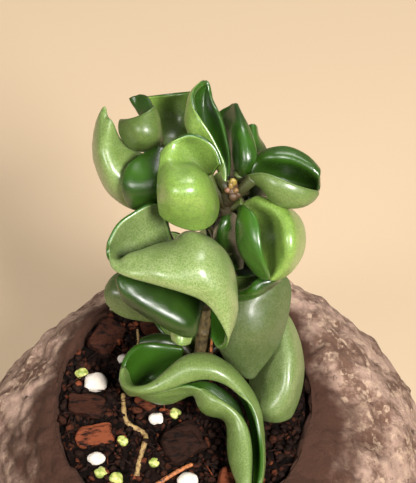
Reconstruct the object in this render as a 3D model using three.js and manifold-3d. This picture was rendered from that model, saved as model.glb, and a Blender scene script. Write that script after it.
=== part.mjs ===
// A small hindu rope plant, a wax plant with thick folded and curled leaves, in a rough stone planter.
// Millimetres, +Z up. The origin is under the middle of the planter, on the surface it stands on.

import * as THREE from "three";
import { ParametricGeometry } from "three/addons/geometries/ParametricGeometry.js";
import { mergeVertices } from "three/addons/utils/BufferGeometryUtils.js";
import Module from "manifold-3d";

const wasm = await Module();
wasm.setup();

// Driving dimensions
const PLANTER_RADIUS = 88;
const PLANTER_MIDDLE = { x: -1.5, y: 0.85 };
const PLANTER_FOOT_RADIUS = 62;
const PLANTER_SIDES = 44;
const RIM_HEIGHT = 110;
const POCKET = { x: -7.5, y: 4, radiusX: 42, radiusY: 49 };
const POCKET_FLOOR = 34;
const DRAIN_RADIUS = 6;
const SOIL_TOP = 106.5;
const STEM_ROOT_RADIUS = 2.6;
const STEM_TIP_RADIUS = 1.7;
const STEM_SHARE_IN_SOIL = 0.16;
const STEM_RINGS = 12;
const STEM_SIDES = 8;
const LEAF_THICKNESS = 1.5;
const PETIOLE_RADIUS = 1.1;
const GAP = 0.3;

// The plant's curves are given as an eye in front of it sees them, looking down by this angle from this
// distance to the crown. A point is [right, up, near]: how far right and up it stands in the upright
// picture through the crown, and how much nearer than the crown it is. Sight lines spread it to its place.
const LOOKING_DOWN = THREE.MathUtils.degToRad(50);
const EYE_DISTANCE = 450;
const SIGHT_CENTRE = new THREE.Vector3(1.3, 8.7, 185.7);
const UP = new THREE.Vector3(0, Math.sin(LOOKING_DOWN), Math.cos(LOOKING_DOWN));
const NEAR = new THREE.Vector3(0, -Math.cos(LOOKING_DOWN), Math.sin(LOOKING_DOWN));

function seen([right, up, near]) {
  const spread = 1 - near / EYE_DISTANCE;
  const point = SIGHT_CENTRE.clone();
  point.x += right * spread;
  return point.addScaledVector(UP, up * spread).addScaledVector(NEAR, near);
}

// The stem, from its rooted end in the soil to the crown
const STEM_COURSE = [
  [-3.4, -60, -80], [-2.9, -49, -71], [-2.6, -42.2, -62], [-1.8, -31, -50], [-0.3, -19, -38],
  [1.8, -6.2, -24], [4.2, 5, -12], [6.6, 15.5, -1.5],
].map(seen);
const BUD_PLACE = [7.4, 17.4, 1.2];

// Each leaf is one or two sheets, and each sheet is a row of ribs from the leaf's base to its tip. A rib
// runs across the leaf. The petiole leaves the stem at this share of its height and runs to the last point.
const LEAVES = {
  far_left: {
    sheets: [
      [
        [[-17.4, 12.4, -25], [-17.4, 10.9, -19], [-17.4, 14.8, -14], [-17.4, 19.9, -13],
          [-16.8, 25.3, -16]],
        [[-22.2, 11.8, -27], [-22.2, 10.3, -18], [-21.6, 14.5, -11], [-21, 20.8, -11],
          [-19.8, 26.2, -18]],
        [[-27, 14.2, -27], [-28.8, 14.5, -17], [-27.3, 17.2, -9], [-25.2, 22.6, -9.5],
          [-23.7, 28.3, -16]],
        [[-30.9, 20.8, -27], [-32.7, 20.8, -18], [-31.5, 22.9, -9], [-29.1, 26.6, -8.5],
          [-27, 31.6, -14]],
        [[-32.7, 28.1, -25], [-34.2, 28.3, -18], [-33, 29.5, -11], [-30.9, 31.3, -9],
          [-28.8, 35.9, -12]],
        [[-32.1, 34.9, -20], [-33, 35.2, -17], [-32.1, 35.9, -14], [-31.2, 36.1, -13],
          [-30, 37.6, -14]],
        [[-31.2, 40, -15], [-31, 40.2, -15], [-30.9, 40.4, -15], [-30.8, 40.4, -15],
          [-30.6, 40, -15]],
      ],
    ],
    at: 0.82,
    petiole: [[-0.9, 7.3, -18], [-10.8, 10.7, -17], [-18.9, 14.5, -13]],
  },
  notched: {
    sheets: [
      [
        [[-17.4, 27.1, -16], [-15.9, 27.8, -13], [-14.7, 28.6, -11], [-13.8, 29.8, -12],
          [-13.5, 30.8, -14]],
        [[-23.4, 28.6, -14], [-21, 28.9, -8], [-18, 30.4, -5], [-15.3, 32.2, -6], [-14.4, 33.4, -11]],
        [[-26.4, 33.1, -13], [-23.7, 33.1, -6], [-20.1, 34.4, -3], [-16.5, 36.1, -5],
          [-15, 37.4, -9]],
        [[-26.1, 36.8, -12], [-23.7, 36.8, -7], [-20.7, 37.6, -5], [-18, 39.4, -5],
          [-16.5, 40.9, -8]],
      ],
      [
        [[-20.1, 37.4, -9], [-17.7, 38.5, -5], [-15.9, 39.1, -7]],
        [[-21.6, 39.4, -11], [-19.5, 40.4, -10], [-16.8, 41.5, -9]],
        [[-22.8, 41.2, -12], [-20.7, 42.4, -13], [-18.3, 43.6, -11]],
        [[-23.7, 43, -13], [-22.2, 43.6, -14], [-20.4, 44.2, -13]],
      ],
    ],
    at: 0.91,
    petiole: [[-0.9, 16.6, -17], [-8.4, 22.6, -16], [-15.6, 28.9, -10]],
  },
  back_blur: {
    sheets: [
      [
        [[-15, 26.8, -22], [-12, 26.2, -25], [-8.4, 26.2, -25], [-5.4, 26.8, -22]],
        [[-17.7, 31, -24], [-13.5, 30.8, -31], [-7.8, 31, -32], [-3.3, 31.6, -27]],
        [[-18.6, 37.9, -24], [-13.8, 37.6, -33], [-7.5, 37.9, -34], [-2.4, 38.5, -27]],
        [[-18.6, 43.6, -24], [-13.8, 44.1, -30], [-8.4, 44.7, -31], [-3, 45.3, -27]],
      ],
    ],
    at: 0.965,
    petiole: [[1.5, 18.1, -17], [-4.8, 24.4, -27], [-9, 28.3, -27.5]],
  },
  centre_tall: {
    sheets: [
      [
        [[5.7, 17.6, 0], [4.8, 17.8, 0], [4.2, 18.8, -1], [5.1, 19.6, -4], [6.3, 19.6, -4]],
        [[5.7, 21.8, 0], [4.2, 22.1, -1], [2.4, 22.9, -4], [4.2, 24.4, -8], [6.6, 25.1, -6]],
        [[3.9, 26.8, 0], [0.9, 27.1, -1.5], [-2.4, 27.8, -6], [0.9, 29.8, -11], [5.7, 30.4, -7]],
        [[0.6, 33.1, 1], [-2.4, 33.4, 0], [-6, 34, -5], [-1.2, 35.9, -13], [4.2, 36.1, -8]],
        [[-3, 38.2, 1], [-4.2, 38.5, 0], [-6, 39.4, -6], [-1.8, 40.9, -14], [2.4, 40, -9]],
        [[-4.5, 43.6, -3], [-4.8, 43.9, -5], [-4.2, 44.9, -8], [-1.5, 45.8, -13], [1.2, 43.6, -12]],
        [[-1.5, 47.9, -10], [-1.1, 48.1, -11], [-0.6, 48.3, -12], [-0.1, 48.1, -12],
          [0.3, 47.9, -12]],
      ],
    ],
    at: 1,
    petiole: [[4.8, 16.9, -0.5], [3.6, 19.9, -2]],
  },
  dark_right: {
    sheets: [
      [
        [[6, 18.4, -11], [7.8, 17.8, -8], [9.9, 18.4, -5], [11.7, 19.6, -4]],
        [[5, 23.2, -13], [7.2, 22.6, -9], [10.2, 22.3, -0.5], [13.8, 23.6, -1]],
        [[4, 28.6, -15], [6.6, 28.3, -11], [9.9, 28.1, 0], [14.4, 27.1, -1]],
        [[3.3, 34.4, -17], [5.7, 33.8, -12.5], [9.3, 33.4, -2], [12.6, 32.9, -4]],
        [[3.1, 38.5, -17], [6.3, 37.9, -13], [8.7, 37.6, -7], [10.8, 37, -7]],
        [[7.5, 41.2, -13], [7.8, 41.4, -13], [8.4, 41.4, -12], [8.7, 41.2, -12]],
      ],
    ],
    at: 0.985,
    petiole: [[8.7, 17.2, -6], [9.6, 20.6, -3]],
  },
  small_back_tip: {
    sheets: [
      [
        [[9.6, 12.2, -22], [11.7, 11.2, -20.5], [14.7, 11.2, -21], [17.7, 12.8, -24]],
        [[9.3, 17.6, -23], [11.4, 16.9, -19], [14.7, 16.9, -19.5], [17.7, 18.1, -24]],
        [[10.5, 23.8, -23], [12, 23.2, -19], [14.1, 23.2, -20], [16.8, 23.8, -24]],
        [[10.8, 28.1, -24], [12.3, 28.1, -19], [14.7, 27.8, -20], [17.4, 27.4, -24]],
        [[11.4, 31.6, -24], [12.6, 31.6, -20], [14.1, 31.6, -20], [15, 31, -24]],
        [[12.3, 34.9, -23], [12.9, 35.2, -21], [13.8, 35.2, -21], [14.4, 34.6, -23]],
      ],
    ],
    at: 0.86,
    petiole: [[8.4, 13.7, -17], [12, 15.4, -20]],
  },
  clam_right: {
    sheets: [
      [
        [[11.7, 19.9, 0], [11.7, 19.1, 0], [12.3, 18.4, -2], [12.6, 19.3, -4], [12.3, 20.8, -4],
          [12, 21.8, -4]],
        [[14.7, 20.8, 4], [15.3, 18.4, 4], [16.5, 16.3, 0], [16.5, 19.6, -7], [15.3, 23.6, -4],
          [14.7, 25.9, -6]],
        [[18.9, 20.1, 7], [19.5, 15.8, 7], [20.1, 12.2, -1], [20.4, 19.3, -11], [19.5, 24.4, -2],
          [19.2, 27.9, -5]],
        [[24.6, 17.8, 8], [25.2, 13.7, 7], [25.8, 10.7, -1], [25.5, 18.1, -12], [24.6, 23.8, -2],
          [24.3, 28.1, -5]],
        [[29.4, 16.1, 6], [30, 13.3, 5], [30.6, 12.2, -1], [30.6, 17.2, -9], [30, 21.8, -1],
          [30, 25.3, -4]],
        [[32.4, 15.3, 2], [33, 14.8, 1], [33, 15.1, -1], [33.4, 16.3, -5], [33.6, 19.1, -1],
          [33.6, 21.1, -3]],
      ],
    ],
    at: 0.95,
    petiole: [[9.6, 15.1, -1], [13.5, 18.8, 1.5]],
  },
  cup_centre: {
    sheets: [
      [
        [[3.9, 22.9, 4.5], [3, 22.1, 1], [1.5, 19.3, -4.5], [2.1, 15.4, -4], [2.9, 10.9, -5],
          [2.1, 7, -7]],
        [[2.1, 28.1, 5.5], [0.9, 24.4, 0.5], [-0.9, 20.6, -4], [0, 18.8, 1], [0.9, 12.4, 7],
          [0.6, 5.1, -3]],
        [[-1.8, 31.3, 6], [-2.4, 27.1, 0.5], [-3.6, 22.9, -2], [-3.6, 21.1, 7], [-3, 14.2, 14],
          [-2.7, 3.6, -1]],
        [[-6.3, 32.1, 5], [-6.9, 28.1, 1], [-7.8, 23.6, 1.5], [-7.8, 21.4, 9], [-7.8, 14.2, 15.5],
          [-7.2, 4.2, 0]],
        [[-10.8, 30.1, 3], [-11.1, 27.1, 3.5], [-11.7, 23.8, 5], [-12, 20.8, 9.5], [-12, 14.2, 13],
          [-11.1, 5.8, 2]],
        [[-14.1, 26.6, 1], [-14.4, 24.1, 3], [-14.7, 21.4, 4], [-14.8, 18.4, 5], [-14.8, 13.3, 5],
          [-14.4, 8.2, 2]],
      ],
    ],
    at: 0.93,
    petiole: [[2.4, 15.4, -3], [-0.3, 19.6, -1.5]],
  },
  dark_left: {
    sheets: [
      [
        [[-9.6, 25.1, -12], [-10.2, 21.4, -9], [-10.2, 16.9, -8], [-9.6, 13, -12]],
        [[-13.5, 28.3, -8], [-14.1, 22.9, -4], [-14.1, 16.3, -2.5], [-13.5, 11.2, -10]],
        [[-18.3, 26.8, -8.5], [-18.9, 22.1, -4], [-18.6, 15.4, -2], [-17.7, 10.3, -10]],
        [[-22.5, 24.1, -6.5], [-23.1, 20.6, -3.5], [-22.8, 15.1, -3], [-21.9, 9.8, -9]],
        [[-24.6, 21.1, -5.5], [-25.2, 18.4, -4], [-25.5, 15.1, -5], [-24.3, 12.2, -7.5]],
      ],
    ],
    at: 0.87,
    petiole: [[-0.9, 11.2, -14], [-6.9, 15.4, -12], [-11.4, 18.4, -7]],
  },
  cap_front: {
    sheets: [
      [
        [[-0.6, -7.9, -17], [-0.3, -8.8, -17.5], [0, -10, -18], [0.6, -13, -18], [0.9, -16.9, -17],
          [0.9, -22.9, -14], [0.9, -28.9, -9]],
        [[1.2, -3.4, -15], [2.4, -3.8, -14.5], [3.6, -4.3, -13], [6, -7.9, -12], [7.2, -14.5, -11],
          [7, -22.9, -8], [3.3, -32.2, -6]],
        [[-1.2, -1.6, -13], [-0.3, -0.8, -10], [1.2, -0.1, -6], [5.1, -4.6, -2], [7.5, -13.3, 0],
          [7.3, -22.1, 1], [5.5, -29.8, -1]],
        [[-5.4, -2.2, -15], [-5.4, -0.8, -13], [-3.9, 2.1, -5], [-0.3, -0.8, 4], [3.3, -9.2, 8],
          [4.2, -18.1, 7], [3.8, -24.1, 3]],
        [[-10.8, 1.6, -14], [-10.2, -2.9, -16], [-8.7, 0.9, -6], [-6.3, -0.1, 3], [-3, -7, 11],
          [-0.6, -14.2, 10], [-0.6, -18.4, 6]],
        [[-14.4, 11.2, -6], [-12.9, 4.3, -13], [-11.4, -3.1, -15], [-13.5, -0.9, -2],
          [-10.2, -6.1, 9], [-8.4, -11.8, 11], [-7.5, -15.1, 8]],
        [[-21.3, 9.3, -2], [-19.5, 2.9, -10], [-17.1, -4.6, -13], [-18.9, -2.7, -1],
          [-17.4, -6.1, 7], [-16.2, -10, 9], [-15.6, -12.8, 7]],
        [[-26.4, 5.8, -1], [-25.5, 0.1, -7], [-23.1, -5.5, -8], [-24, -4.6, 0], [-23.4, -7, 4],
          [-22.5, -9.4, 6], [-21.6, -11.2, 5]],
        [[-29.1, 1.6, -1], [-28.2, -1.6, -5], [-27, -5.2, -6], [-26.7, -6.1, -1], [-26.7, -7.3, 2],
          [-26.1, -8.7, 3.5], [-25.2, -10, 3.5]],
        [[-30.1, -0.8, -1], [-30.3, -2.2, -2], [-30.2, -3.8, -2], [-30, -5, -1], [-29.5, -6.3, 0],
          [-28.8, -7.6, 1], [-27.8, -8.8, 2]],
      ],
    ],
    at: 0.62,
    petiole: [[0.3, -12.2, -18]],
  },
  cap_inside: {
    sheets: [
      [
        [[-1.2, -15.1, -22], [-1.5, -17.8, -22], [-2.4, -20.8, -20], [-3.6, -24.8, -16]],
        [[-3.9, -15.1, -15], [-4.2, -19.9, -12], [-5, -24.8, -9], [-5.1, -28.6, -12]],
        [[-10.8, -12.2, -11], [-11.7, -16.9, -8], [-12.9, -22.1, -6], [-12.6, -25.9, -10]],
        [[-18.3, -10, -8], [-19.5, -13.9, -5], [-21, -17.8, -4], [-21, -20.8, -8]],
        [[-23.7, -9.2, -6], [-24.9, -11.8, -4], [-25.8, -14.5, -4], [-25.2, -17.1, -7]],
        [[-27, -9.8, -5], [-27, -10.3, -5], [-27, -10.9, -5], [-26.7, -11.5, -5]],
      ],
    ],
    at: 0.52,
    petiole: [[-1.5, -18.4, -22]],
  },
  small_tip: {
    sheets: [
      [
        [[-6.6, -19.1, -22], [-5.1, -19.3, -22], [-3.6, -19.9, -22]],
        [[-9.3, -23.6, -20], [-6.9, -23.8, -17], [-4.2, -24.1, -20]],
        [[-10.8, -26.8, -18], [-8.1, -27.8, -14], [-4.8, -28.3, -18]],
        [[-10.5, -29.8, -17], [-8.1, -31.3, -14], [-5.7, -30.8, -17]],
      ],
    ],
    at: 0.47,
    petiole: [[-5.1, -19.9, -22]],
  },
  blur_left: {
    sheets: [
      [
        [[-6, -14.5, -36], [-6, -17.6, -36], [-6, -20.6, -36]],
        [[-12.9, -12.2, -33], [-13.5, -18.1, -28], [-12.9, -23.8, -33]],
        [[-20.4, -9.8, -32], [-21, -16.6, -26], [-20.1, -23.6, -32]],
        [[-26.7, -9.4, -32], [-27.6, -15.4, -27], [-26.1, -22.1, -32]],
        [[-30.6, -13.9, -31], [-30.9, -16.1, -30], [-30.6, -18.1, -31]],
      ],
    ],
    at: 0.42,
    petiole: [[-6, -17.6, -36]],
  },
  round_right: {
    sheets: [
      [
        [[16.2, 13.3, -6], [14.4, 13.3, -5], [12.6, 12.8, -6], [10.8, 11.8, -7], [9.6, 10.9, -6],
          [9.9, 10.9, -3], [10.5, 10.9, -2]],
        [[22.8, 10.7, -6], [19.5, 11.2, -1], [16.2, 10.3, -3], [12.6, 9.4, -6], [9.6, 8.8, -4],
          [11.1, 9.2, 0], [12.9, 9.4, 2]],
        [[27.6, 6.1, -8], [23.7, 6.5, 3], [18.3, 6.5, -4], [12.9, 6.1, -9], [8.8, 5.5, -5],
          [11.7, 6.1, 2], [15, 6.1, 4]],
        [[28.8, 0.1, -8], [24.6, 0.4, 5], [18.9, 0.4, -5], [13.5, 0.4, -11], [9.2, 0.4, -6],
          [12.3, 0.8, 3], [15.9, 0.1, 5]],
        [[27.3, -5.2, -8], [24.3, -5, 3], [19.8, -4.6, -4], [15.3, -4.3, -9], [11.1, -5, -6],
          [13.8, -4.6, 1], [16.8, -5.2, 4]],
        [[23.4, -9.9, -6], [21.9, -9.4, -2], [20.1, -9.2, -3], [18, -8.5, -6], [14.7, -9.4, -5],
          [16.5, -9.2, -1], [18.3, -9.2, 1]],
        [[19.2, -11.5, -4], [18.9, -11.5, -4], [18.6, -11.5, -4], [18.3, -11.5, -4],
          [17.7, -11.2, -4], [18, -11.2, -3], [18.6, -11.2, -2]],
      ],
    ],
    at: 0.92,
    petiole: [[10.5, 11.5, -5]],
  },
  narrow_dark: {
    sheets: [
      [
        [[5.1, 8.5, -9], [6, 9, -8.5], [7.2, 8.8, -10]],
        [[3.3, 6.1, -10], [5.4, 6.1, -6], [8.7, 6.5, -13]],
        [[2.1, 1.1, -13], [4.5, 1.3, -8.5], [9.9, 1.6, -16]],
        [[3.3, -4.3, -21], [6.3, -3.8, -17], [10.8, -3.1, -20]],
        [[6.6, -9.2, -22], [8.4, -8.8, -21], [10.5, -8.2, -23]],
      ],
    ],
    at: 0.72,
    petiole: [[6, -2.5, -15]],
  },
  under_dark: {
    sheets: [
      [
        [[5.4, 8.2, -17.5], [7.2, 9.2, -18], [9.6, 9.2, -18.5], [12, 7.9, -19]],
        [[6, -0.4, -24], [9.6, -0.1, -27], [14.1, -0.4, -26], [17.4, -0.8, -22]],
        [[7.2, -6.1, -26], [10.5, -6.1, -27], [14.4, -6.1, -27], [17.7, -5.8, -24]],
        [[9, -10.3, -26], [11.4, -10.7, -25], [14.4, -10.3, -25], [16.5, -9.8, -24.5]],
      ],
    ],
    at: 0.78,
    petiole: [[7.2, 1.6, -22.5]],
  },
  under_crescent: {
    sheets: [
      [
        [[21.3, -10.7, -13], [21.4, -10.9, -13], [21.4, -11.2, -14], [21.3, -10.9, -15],
          [21, -10.3, -15]],
        [[18.6, -11.1, -10.5], [19.2, -12, -9.5], [19.8, -12.8, -13.5], [19.2, -11.1, -18],
          [18.3, -9.9, -17]],
        [[15, -11.1, -10], [15.6, -13.3, -9], [16.1, -15.1, -13], [15.3, -12.4, -20],
          [14.7, -9.4, -19]],
        [[12.3, -13.7, -11], [12.9, -15.3, -10], [13.2, -16.6, -14], [12.3, -13.9, -21],
          [11.7, -10, -20]],
        [[8.1, -14.5, -17], [8.4, -16.1, -17], [8.4, -17.2, -19], [7.8, -14.5, -23],
          [7.5, -10.3, -23]],
        [[4.2, -12.8, -25], [4.5, -13.7, -25], [4.5, -14.2, -26], [4.2, -13.3, -27],
          [3.9, -12.2, -27]],
      ],
    ],
    at: 0.6,
    petiole: [[4.2, -13.7, -27], [6.3, -13.9, -23]],
  },
  broad_right: {
    sheets: [
      [
        [[8.4, -10.3, -36], [11.4, -9.8, -33], [16.2, -9.2, -32], [19.8, -9.2, -35]],
        [[5.1, -13.9, -37], [9.6, -13.3, -30], [17.4, -12.8, -28], [24.3, -12.2, -35]],
        [[4.2, -21.1, -37], [8.7, -20.8, -28], [16.8, -20.2, -28], [24.3, -20.2, -36]],
        [[3.3, -28.9, -38], [7.8, -28.9, -31], [15.6, -28.3, -30], [22.2, -28.1, -38]],
        [[5.1, -34.9, -41], [8.7, -35.9, -38.5], [13.8, -35.5, -38], [18.3, -35.2, -40]],
        [[11.4, -40.6, -43.5], [12.3, -41.1, -43], [13.2, -41.1, -43], [13.8, -40.6, -43.5]],
      ],
    ],
    at: 0.42,
    petiole: [[5.4, -18.1, -36]],
  },
  back_right: {
    sheets: [
      [
        [[15, -21.1, -47], [17.1, -20.6, -46], [19.2, -20.6, -46], [21, -20.6, -47]],
        [[14.1, -25.1, -51], [17.1, -24.4, -47], [21, -23.6, -43], [24.6, -23.2, -47]],
        [[13.2, -33.1, -53], [16.8, -32.9, -48], [23.4, -32.5, -39], [27.9, -32.5, -48]],
        [[12.6, -42.8, -54], [16.5, -42.4, -46], [23.7, -42.1, -37], [28.2, -41.9, -47]],
        [[13.8, -49.9, -47], [17.4, -49.9, -40], [22.8, -49.6, -39], [26.4, -49, -46]],
        [[16.5, -53.5, -46], [19.2, -54, -44], [21.9, -53.9, -44], [24.6, -52.9, -46]],
      ],
    ],
    at: 0.22,
    petiole: [[8.4, -27.8, -51], [14.7, -22.9, -49]],
  },
  ribbon: {
    sheets: [
      [
        [[-7.2, -33.1, -50], [-7.5, -32.5, -49], [-7.2, -36.1, -51], [-6.6, -40.9, -54]],
        [[-15.6, -32.5, -54], [-16.2, -31.2, -50], [-16.2, -36.1, -52], [-15, -41.5, -54]],
        [[-21.3, -34.4, -51], [-22.8, -32.9, -46], [-21.9, -37.9, -49], [-19.8, -43.6, -51]],
        [[-24, -38.9, -47], [-25.9, -40, -41], [-25.3, -43, -42.5], [-23.1, -45.8, -45]],
        [[-21.3, -44.5, -41], [-22.2, -43.9, -35], [-21.9, -44.9, -34], [-21.3, -46, -37]],
        [[-14.4, -44.2, -38], [-15, -41.5, -32], [-15, -43.6, -30], [-15, -45.1, -32]],
        [[-7.2, -39.8, -39], [-8.4, -35.9, -33], [-8.1, -39.1, -29], [-7.8, -42.8, -31]],
        [[-0.6, -39.4, -42], [-1.2, -33.8, -35], [-0.9, -37.4, -28], [-0.6, -41.2, -30]],
        [[5.4, -42.1, -44], [6, -37, -36], [6, -40, -29], [5.7, -43, -30]],
        [[10.2, -47.9, -45], [11.5, -43, -38], [10.7, -44.9, -31.5], [9.6, -46.2, -31]],
        [[12.6, -55, -43], [15.3, -50.9, -38], [14.4, -51, -33], [13.2, -50.5, -31]],
        [[13.5, -63.1, -37], [16.1, -59.5, -35], [16.1, -59.7, -32.5], [15.6, -59.2, -30.5]],
        [[13.5, -71.5, -29], [16.1, -69.8, -28], [16.1, -69.8, -26.5], [15.8, -69.8, -25]],
        [[12.3, -77.5, -24], [13.2, -77.8, -24], [13.2, -77.8, -23], [12.9, -77.8, -23]],
      ],
      [
        [[-20.4, -44.9, -40], [-21.9, -45.4, -42], [-21.6, -45.4, -39], [-20.7, -45.1, -38]],
        [[-12.6, -43.6, -44], [-15, -48.1, -45], [-14.1, -46.6, -40], [-13.5, -44.5, -37]],
        [[-6.6, -42.8, -45], [-9, -47.2, -44], [-8.1, -44.9, -38], [-7.5, -43, -35]],
        [[-0.6, -41.9, -45], [-3.8, -45.8, -41], [-2.7, -44.9, -36], [-1.2, -44.2, -35]],
        [[5.4, -44.9, -46], [-0.9, -50.9, -40], [1.2, -48.4, -33], [3.3, -47.2, -33]],
        [[10.2, -50.5, -46], [5.4, -53.5, -40], [7.5, -52.6, -32.5], [9.9, -52.8, -33]],
        [[12.6, -59.5, -41], [6.5, -62.2, -36], [9.6, -61.3, -30], [12.9, -60.8, -31]],
        [[13.2, -70, -31], [8.5, -71, -29], [10.8, -70.6, -25], [12.9, -70.6, -26]],
        [[12.3, -77.5, -24], [11.4, -77.8, -24], [11.7, -77.8, -23], [12.3, -77.8, -23]],
      ],
    ],
    at: 0.13,
    petiole: [[-6.6, -36.8, -51.5]],
  },
  low_dark: {
    sheets: [
      [
        [[-21.6, -32.2, -58], [-21, -30.8, -55], [-20.1, -29.2, -56]],
        [[-17.4, -33.4, -59], [-16.8, -30.4, -54], [-15.9, -27.8, -56]],
        [[-12, -33.4, -59], [-12, -30.8, -54], [-12, -28.1, -56]],
        [[-7.8, -33.1, -58], [-7.8, -31.3, -56], [-7.8, -29.5, -58]],
      ],
    ],
    at: 0.2,
    petiole: [[-7.8, -31.6, -57]],
  },
};

// Leaves round the back of the stem, which an eye in front doesn't see. Each one is folded like a trough,
// heads this way round from +X and rises by this angle at first, in degrees.
const BACK_LEAVES = {
  upper_back: { at: 0.77, heading: 105, rise: -5, length: 31, width: 22, fold: 70, droop: 50 },
  upper_back_right: { at: 0.65, heading: 68, rise: -6, length: 30, width: 21, fold: 75, droop: 55 },
  upper_back_left: { at: 0.62, heading: 152, rise: -2, length: 22, width: 16, fold: 70, droop: 35 },
  middle_back: { at: 0.5, heading: 110, rise: 2, length: 33, width: 26, fold: 72, droop: 60 },
  lower_back_left: { at: 0.36, heading: 146, rise: 5, length: 30, width: 24, fold: 75, droop: 50 },
  lower_back_right: { at: 0.36, heading: 70, rise: 10, length: 30, width: 24, fold: 75, droop: 60 },
  lowest_back: { at: 0.17, heading: 106, rise: 14, length: 28, width: 22, fold: 70, droop: 40 },
};

// What lies on the soil: place on it, size, and how it is turned, in millimetres and degrees
const BARK_CHIPS = {
  orange: { x: -36.5, y: -9.5, length: 13, width: 8, depth: 4, turn: 12, tilt: 22 },
  dark_left: { x: -40, y: 2, length: 13, width: 8, depth: 4, turn: -10, tilt: 10 },
  upper_left: { x: -34, y: 30, length: 15, width: 10, depth: 4, turn: 60, tilt: 25 },
  upper: { x: -17, y: 37, length: 12, width: 8, depth: 4, turn: 20, tilt: -15 },
  red_front: { x: 8, y: -28, length: 9, width: 7, depth: 4, turn: 80, tilt: 20 },
  red_middle: { x: -20, y: 3.5, length: 8, width: 4, depth: 3, turn: -35, tilt: 15 },
  brown_middle: { x: -7, y: -13, length: 15, width: 12, depth: 5, turn: 35, tilt: 12 },
};
const PERLITE_GRAINS = {
  large_left: { x: -37, y: 12, size: 3.6 },
  middle: { x: -16, y: -2.5, size: 2.2 },
  far: { x: -28, y: 21.5, size: 1.8 },
  front: { x: -5.5, y: -27, size: 2.8 },
  front_left: { x: -35.5, y: -18.5, size: 2.4 },
};
const PELLETS = {
  left: { x: -42, y: 15.5, size: 1.9 },
  middle: { x: -10, y: -0.5, size: 1.8 },
  centre_left: { x: -27, y: -11.5, size: 1.7 },
  front: { x: -16.5, y: -20.5, size: 1.5 },
  front_left: { x: -33.5, y: -24, size: 1.8 },
  front_far_left: { x: -28.5, y: -26.5, size: 2 },
};
const ROOTS = {
  winding: {
    radius: 0.7,
    course: [[-27.5, 7], [-26.5, -3], [-23.5, -6.5], [-20, -9], [-19.5, -12.5], [-21, -19], [-22, -25]],
  },
  thin_far: { radius: 0.5, course: [[-23.5, 34], [-23, 29], [-23.5, 24]] },
};
const TWIG = { radius: 0.8, course: [[-4, -20.5], [-10, -24.5], [-17, -29]] };
const OLD_STALK = {
  radius: 0.5,
  course: [[1.2, -50, -66], [0.8, -41, -54], [0.9, -33, -46], [1.6, -26, -40.5]].map(seen),
};

// How closely shared corners are merged, how far the leaf steps crowd to the margins, how quickly a margin
// swells to full thickness, and the share of a sheet that its slope is taken over
const MERGE_DISTANCE = 1e-4;
const CROWDING = 0.85;
const MARGIN_FULLNESS = 30;
const SLOPE_STEP = 1e-3;

// The natural cubic spline through evenly spaced points, as a function of t from 0 to 1
function naturalSpline(points) {
  const last = points.length - 1;
  const ratios = [0];
  const sums = [new THREE.Vector3()];
  for (let i = 1; i < last; i++) {
    const turn = points[i - 1].clone().addScaledVector(points[i], -2).add(points[i + 1]);
    ratios[i] = 1 / (4 - ratios[i - 1]);
    sums[i] = turn.multiplyScalar(6).sub(sums[i - 1]).multiplyScalar(ratios[i]);
  }
  const bends = [];
  bends[last] = new THREE.Vector3();
  for (let i = last - 1; i > 0; i--) {
    bends[i] = sums[i].clone().addScaledVector(bends[i + 1], -ratios[i]);
  }
  bends[0] = new THREE.Vector3();
  return (t) => {
    const place = t * last;
    const i = Math.min(Math.max(Math.floor(place), 0), last - 1);
    const after = place - i;
    const before = 1 - after;
    return new THREE.Vector3()
      .addScaledVector(points[i], before)
      .addScaledVector(points[i + 1], after)
      .addScaledVector(bends[i], (before ** 3 - before) / 6)
      .addScaledVector(bends[i + 1], (after ** 3 - after) / 6);
  };
}

// A geometry with its shared corners merged and its flat slivers dropped, as a solid to cut and join
function asSolid(geometry) {
  const bare = geometry.clone();
  bare.deleteAttribute("normal");
  bare.deleteAttribute("uv");
  const merged = mergeVertices(bare, MERGE_DISTANCE);
  const corners = merged.index.array;
  const triangles = [];
  for (let i = 0; i < corners.length; i += 3) {
    const [a, b, c] = [corners[i], corners[i + 1], corners[i + 2]];
    if (a !== b && b !== c && c !== a) triangles.push(a, b, c);
  }
  return new wasm.Manifold(
    new wasm.Mesh({
      numProp: 3,
      vertProperties: Float32Array.from(merged.attributes.position.array),
      triVerts: Uint32Array.from(triangles),
    }),
  );
}

function solidMesh(name, solid, material) {
  const skin = solid.getMesh();
  const geometry = new THREE.BufferGeometry();
  geometry.setAttribute("position", new THREE.BufferAttribute(skin.vertProperties, 3));
  geometry.setIndex(new THREE.BufferAttribute(skin.triVerts, 1));
  geometry.computeVertexNormals();
  const mesh = new THREE.Mesh(geometry, material);
  mesh.name = name;
  return mesh;
}

// A round rod along a curve, swept by its section
function rodSolid(points, radius, steps, sides = 8) {
  const section = new THREE.Shape();
  section.absarc(0, 0, radius, 0, 2 * Math.PI);
  const extrudePath = new THREE.CatmullRomCurve3(points);
  const options = { steps, curveSegments: sides / 2, bevelEnabled: false, extrudePath };
  return asSolid(new THREE.ExtrudeGeometry(section, options));
}

// Steps that crowd towards both ends, where a leaf's rounded margin needs them
function towardEnds(t) {
  return t - (CROWDING * Math.sin(2 * Math.PI * t)) / (2 * Math.PI);
}

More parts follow.
